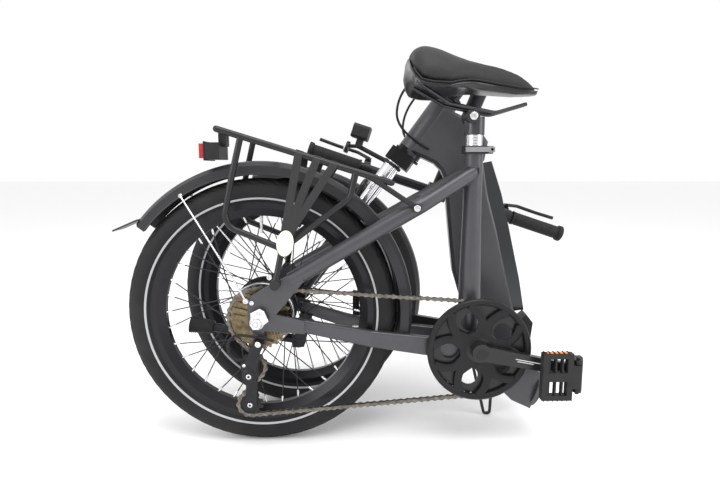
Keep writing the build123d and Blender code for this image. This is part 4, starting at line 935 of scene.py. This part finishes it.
# ---- Fork, headlight and reflector ----
# Chromed stanchions in black lower legs under a cast crown, a square headlight and a round reflector.
# Rubber wipers and dust rings finish the legs.
head_angle = math.radians(72.2)
fork_length, fork_rake = 386.5, 19.8
head_up = np.array([-math.cos(head_angle), 0.0, math.sin(head_angle)])
head_ahead = np.array([head_up[2], 0.0, -head_up[0]])
head_foot = np.array([935.0, 0.0, fork_length * math.sin(head_angle) - fork_rake * math.cos(head_angle)])


def steering(points):
    """Steering axes (ahead, left, up the head tube) to the folded front half."""
    points = np.asarray(points, float)
    return front(head_foot + points[..., :1] * head_ahead + points[..., 1:2] * np.array([0, 1.0, 0])
                 + points[..., 2:] * head_up)


def crown_finish(point, colour, rough, height):
    """Black cast crown over bright stanchions: chrome below the crown's lower face."""
    foot, up = steering([[0, 0, -31.5], [0, 0, 68.5]])
    way = tuple(np.round((up - foot) / np.linalg.norm(up - foot), 6))
    flat = point.node("ShaderNodeVectorMath", {"operation": "SUBTRACT"}, {0: point, 1: tuple(foot)})
    down = flat.node("ShaderNodeVectorMath", {"operation": "DOT_PRODUCT"}, {0: flat, 1: way}, "Value")
    black = down.above(0.0, 0.0002)
    return blend_colour(black, colour, (0.02, 0.02, 0.021, 1)), rough + black * 0.25, height


stanchion_chrome = finish("stanchion_chrome", (0.8, 0.8, 0.82), 0.17, metal=1.0, mottle=0.04, patches=40,
                          grain=2200,
                          depth=0.02, pattern=crown_finish)
dress(stanchion_chrome, "fork_crown")
fork_black = finish("fork_leg_black", (0.021, 0.021, 0.023), 0.34, metal=0.35, mottle=0.12, patches=40,
                    grain=1100,
                    depth=0.1, Coat_Weight=0.3, Coat_Roughness=0.2)
dress(fork_black, "fork_lowers")
wipers, rings = [], []
for side in (-1, 1):
    for profile, store in (([(14.4, 0), (18.6, 0), (18.2, 5), (16, 8), (14.6, 9)], wipers),
                           ([(14.5, 2), (17.6, 2), (17.6, 9), (14.5, 9)], rings)):
        lift = -157.5 if store is wipers else -42
        store.append(upright(turn_profile(profile, count=40), 12, side * 55, lift))
make("fork_wipers", wipers, foot_rubber, "fork_slider", steering)
make("fork_dust_rings", rings, foot_rubber, "steering", steering)
head_rings = []
for radius, height, lift in ((29.5, 5.5, -7), (28.5, 5, 141.5), (26, 4, 147)):
    cup = [(15, 0), (radius, 0), (radius + 0.8, height * 0.5), (radius, height), (15, height)]
    head_rings.append(upright(turn_profile(cup, count=48), 0, 0, lift))
make("headset_cups", head_rings, cast_black, "front_frame", steering)

dress(moulded_black, "headlight")
clear_lens = finish("headlight_glass", (0.75, 0.78, 0.8), 0.1, mottle=0.08, patches=90, grain=2500,
                    depth=0.2, Coat_Weight=0.7,
                    Coat_Roughness=0.04)
dress(clear_lens, "headlight_lens")
reflector = turn_profile([(0.05, 0), (11, 0), (12, 0.6), (12.4, 2), (12, 3), (0.05, 3)], count=40)
disc = np.stack([1066 + reflector[0][:, 1], reflector[0][:, 0], 337 + reflector[0][:, 2]], -1)
make("front_reflector", [(disc, reflector[1])], clear_lens, "steering", front)

# ---- Stem, handlebar, grips and levers ----
# Folding stem on an oblique hinge, a straight black bar with ribbed rubber grips, cast brake levers
# and a small control unit with a dark glass face.
stem_lift = 217.0


def cockpit(points):
    """Post axes (ahead, left, up the post) unfolded, then turned down about the stem hinge."""
    unfolded = steering(np.asarray(points, float) + np.array([0, 0, stem_lift]))
    return spin(unfolded, "stem_fold", -joint["stem_fold"]["range_deg"][1])


dress(cast_black, "stem_base", "stem_post", "handlebar")
dress(cast_black, "right_brake_lever", "left_brake_lever")
grip_rubber = finish("grip_rubber", (0.019, 0.019, 0.02), 0.7, mottle=0.12, patches=60, grain=1200, depth=0.4)
grips = []
for side in (-1, 1):
    y = np.concatenate([[195.0, 195.2, 199, 199.5], np.linspace(201, 313, 220), [314, 316, 323.5, 325, 325]])
    ribs = 14.6 + 0.9 * abs(np.sin((y - 201) * math.pi / 4.0)) ** 0.5
    radius = np.where((y > 200.5) & (y < 313.5), ribs, 16.6)
    radius[-4:] = [18.6, 19.0, 17.6, 0.6]
    radius[0] = 11.4
    points, faces = turn_profile(np.stack([radius, side * y], -1), count=40)
    grid = points.reshape(40, len(y), 3)
    grips.append(skin(grid + np.array([0, 0, 283.0]), False, True, False))
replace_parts(make("ribbed_grips", grips, grip_rubber, "cockpit", cockpit, smooth=55), "grips")
glass = plate([(-2, 309.8), (32, 309.8), (33, 311.2), (-3, 311.2)], 46, 94)
make("display_glass", [glass], battery_gloss, "cockpit", cockpit)
lever_bolts = []
for side in (-1, 1):
    screw = turn_profile([(0.05, 0), (5.2, 0), (5.2, 2.2), (4.4, 3), (0.05, 3)], count=20)
    lever_bolts.append(upright(screw, 32, side * 181, 288.2))
make("lever_pivot_screws", lever_bolts, zinc, "cockpit", cockpit)

# ---- Control cables ----
# Two black cable housings loop in front of the head tube from the stem into the beam's ports,
# and one loops behind the derailleur. Each is steel cable in a plastic sleeve.
sleeve = finish("cable_sleeve", (0.013, 0.013, 0.014), 0.38, mottle=0.1, patches=80, grain=1500, depth=0.1)


def housing(name, points, body, node_name, place):
    """Smooth NURBS line through the cable's own given points, 5 mm thick."""
    curve = bpy.data.curves.new(name, "CURVE")
    curve.dimensions, curve.bevel_depth, curve.bevel_resolution, curve.resolution_u = "3D", 0.0025, 4, 16
    spline = curve.splines.new("NURBS")
    spots = place(points)
    spline.points.add(len(spots) - 1)
    for spot, target in zip(spline.points, spots):
        spot.co = (*target, 1.0)
    spline.order_u, spline.use_endpoint_u = 3, True
    curve.use_fill_caps = True
    curve.materials.append(sleeve)
    cable = bpy.data.objects.new(name, curve)
    bpy.context.collection.objects.link(cable)
    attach(cable, body)
    if node_name:
        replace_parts(cable, node_name)
    return cable


housing("brake_housing", [(888, -40, 545), (948, -42, 520), (974, -38, 450), (958, -36, 388),
                          (896, -33.5, 372)],
        "front_frame", "control_cables", front)
housing("shift_housing", [(886, 46, 550), (950, 46, 540), (992, 44, 470), (972, 40, 398), (896, 33.5, 384)],
        "front_frame", None, front)
housing("derailleur_housing", [(2, -88, -54), (-30, -90, -70), (-52, -90, -48), (-44, -88, -18),
                               (-8, -86, -20),
                               (30, -80, -32)], "rear_frame", "shift_cable", rear)

# ---- Floor, light and camera ----
# Pale seamless floor, a bright even room and broad soft lamps from above, in front and both sides.
# The camera stands at the bicycle's right side, a little above its middle.
bpy.ops.mesh.primitive_plane_add(size=40)
floor = bpy.context.object
floor.name = "studio_floor"
paper = bpy.data.materials.new("pale_paper")
paper.use_nodes = True
paper.node_tree.nodes["Principled BSDF"].inputs["Base Color"].default_value = (0.93, 0.93, 0.93, 1)
paper.node_tree.nodes["Principled BSDF"].inputs["Roughness"].default_value = 0.9
floor.data.materials.append(paper)
world = bpy.data.worlds.new("studio")
world.use_nodes = True
world.node_tree.nodes["Background"].inputs["Color"].default_value = (1, 1, 1, 1)
world.node_tree.nodes["Background"].inputs["Strength"].default_value = 1.0
bpy.context.scene.world = world


def lamp(name, place, target, size, power):
    """Square soft lamp aimed at a point."""
    light = bpy.data.lights.new(name, "AREA")
    light.size, light.energy = size, power
    holder = bpy.data.objects.new(name, light)
    bpy.context.collection.objects.link(holder)
    holder.location = place
    way = np.array(target, float) - np.array(place, float)
    holder.rotation_euler = (math.acos(-way[2] / np.linalg.norm(way)), 0,
                             math.atan2(way[1], way[0]) - math.pi / 2)


lamp("over", (0.2, -0.9, 2.6), (0, 0, 0.4), 1.8, 45)
lamp("left", (-2.2, -1.6, 1.4), (0, 0, 0.4), 1.4, 30)
lamp("right", (2.4, -1.0, 1.2), (0.1, 0, 0.4), 1.2, 22)
camera = bpy.data.objects.new("camera", bpy.data.cameras.new("camera"))
bpy.context.collection.objects.link(camera)
camera.data.lens, camera.data.sensor_width = 25.6, 36.0
camera.location = axle_place + np.array([164.82, -957.28, 270.74]) * MM
camera.rotation_euler = (math.radians(90 - 7.94), 0, math.radians(-1.17))
bpy.context.scene.camera = camera
bpy.context.scene.view_settings.view_transform = "Standard"
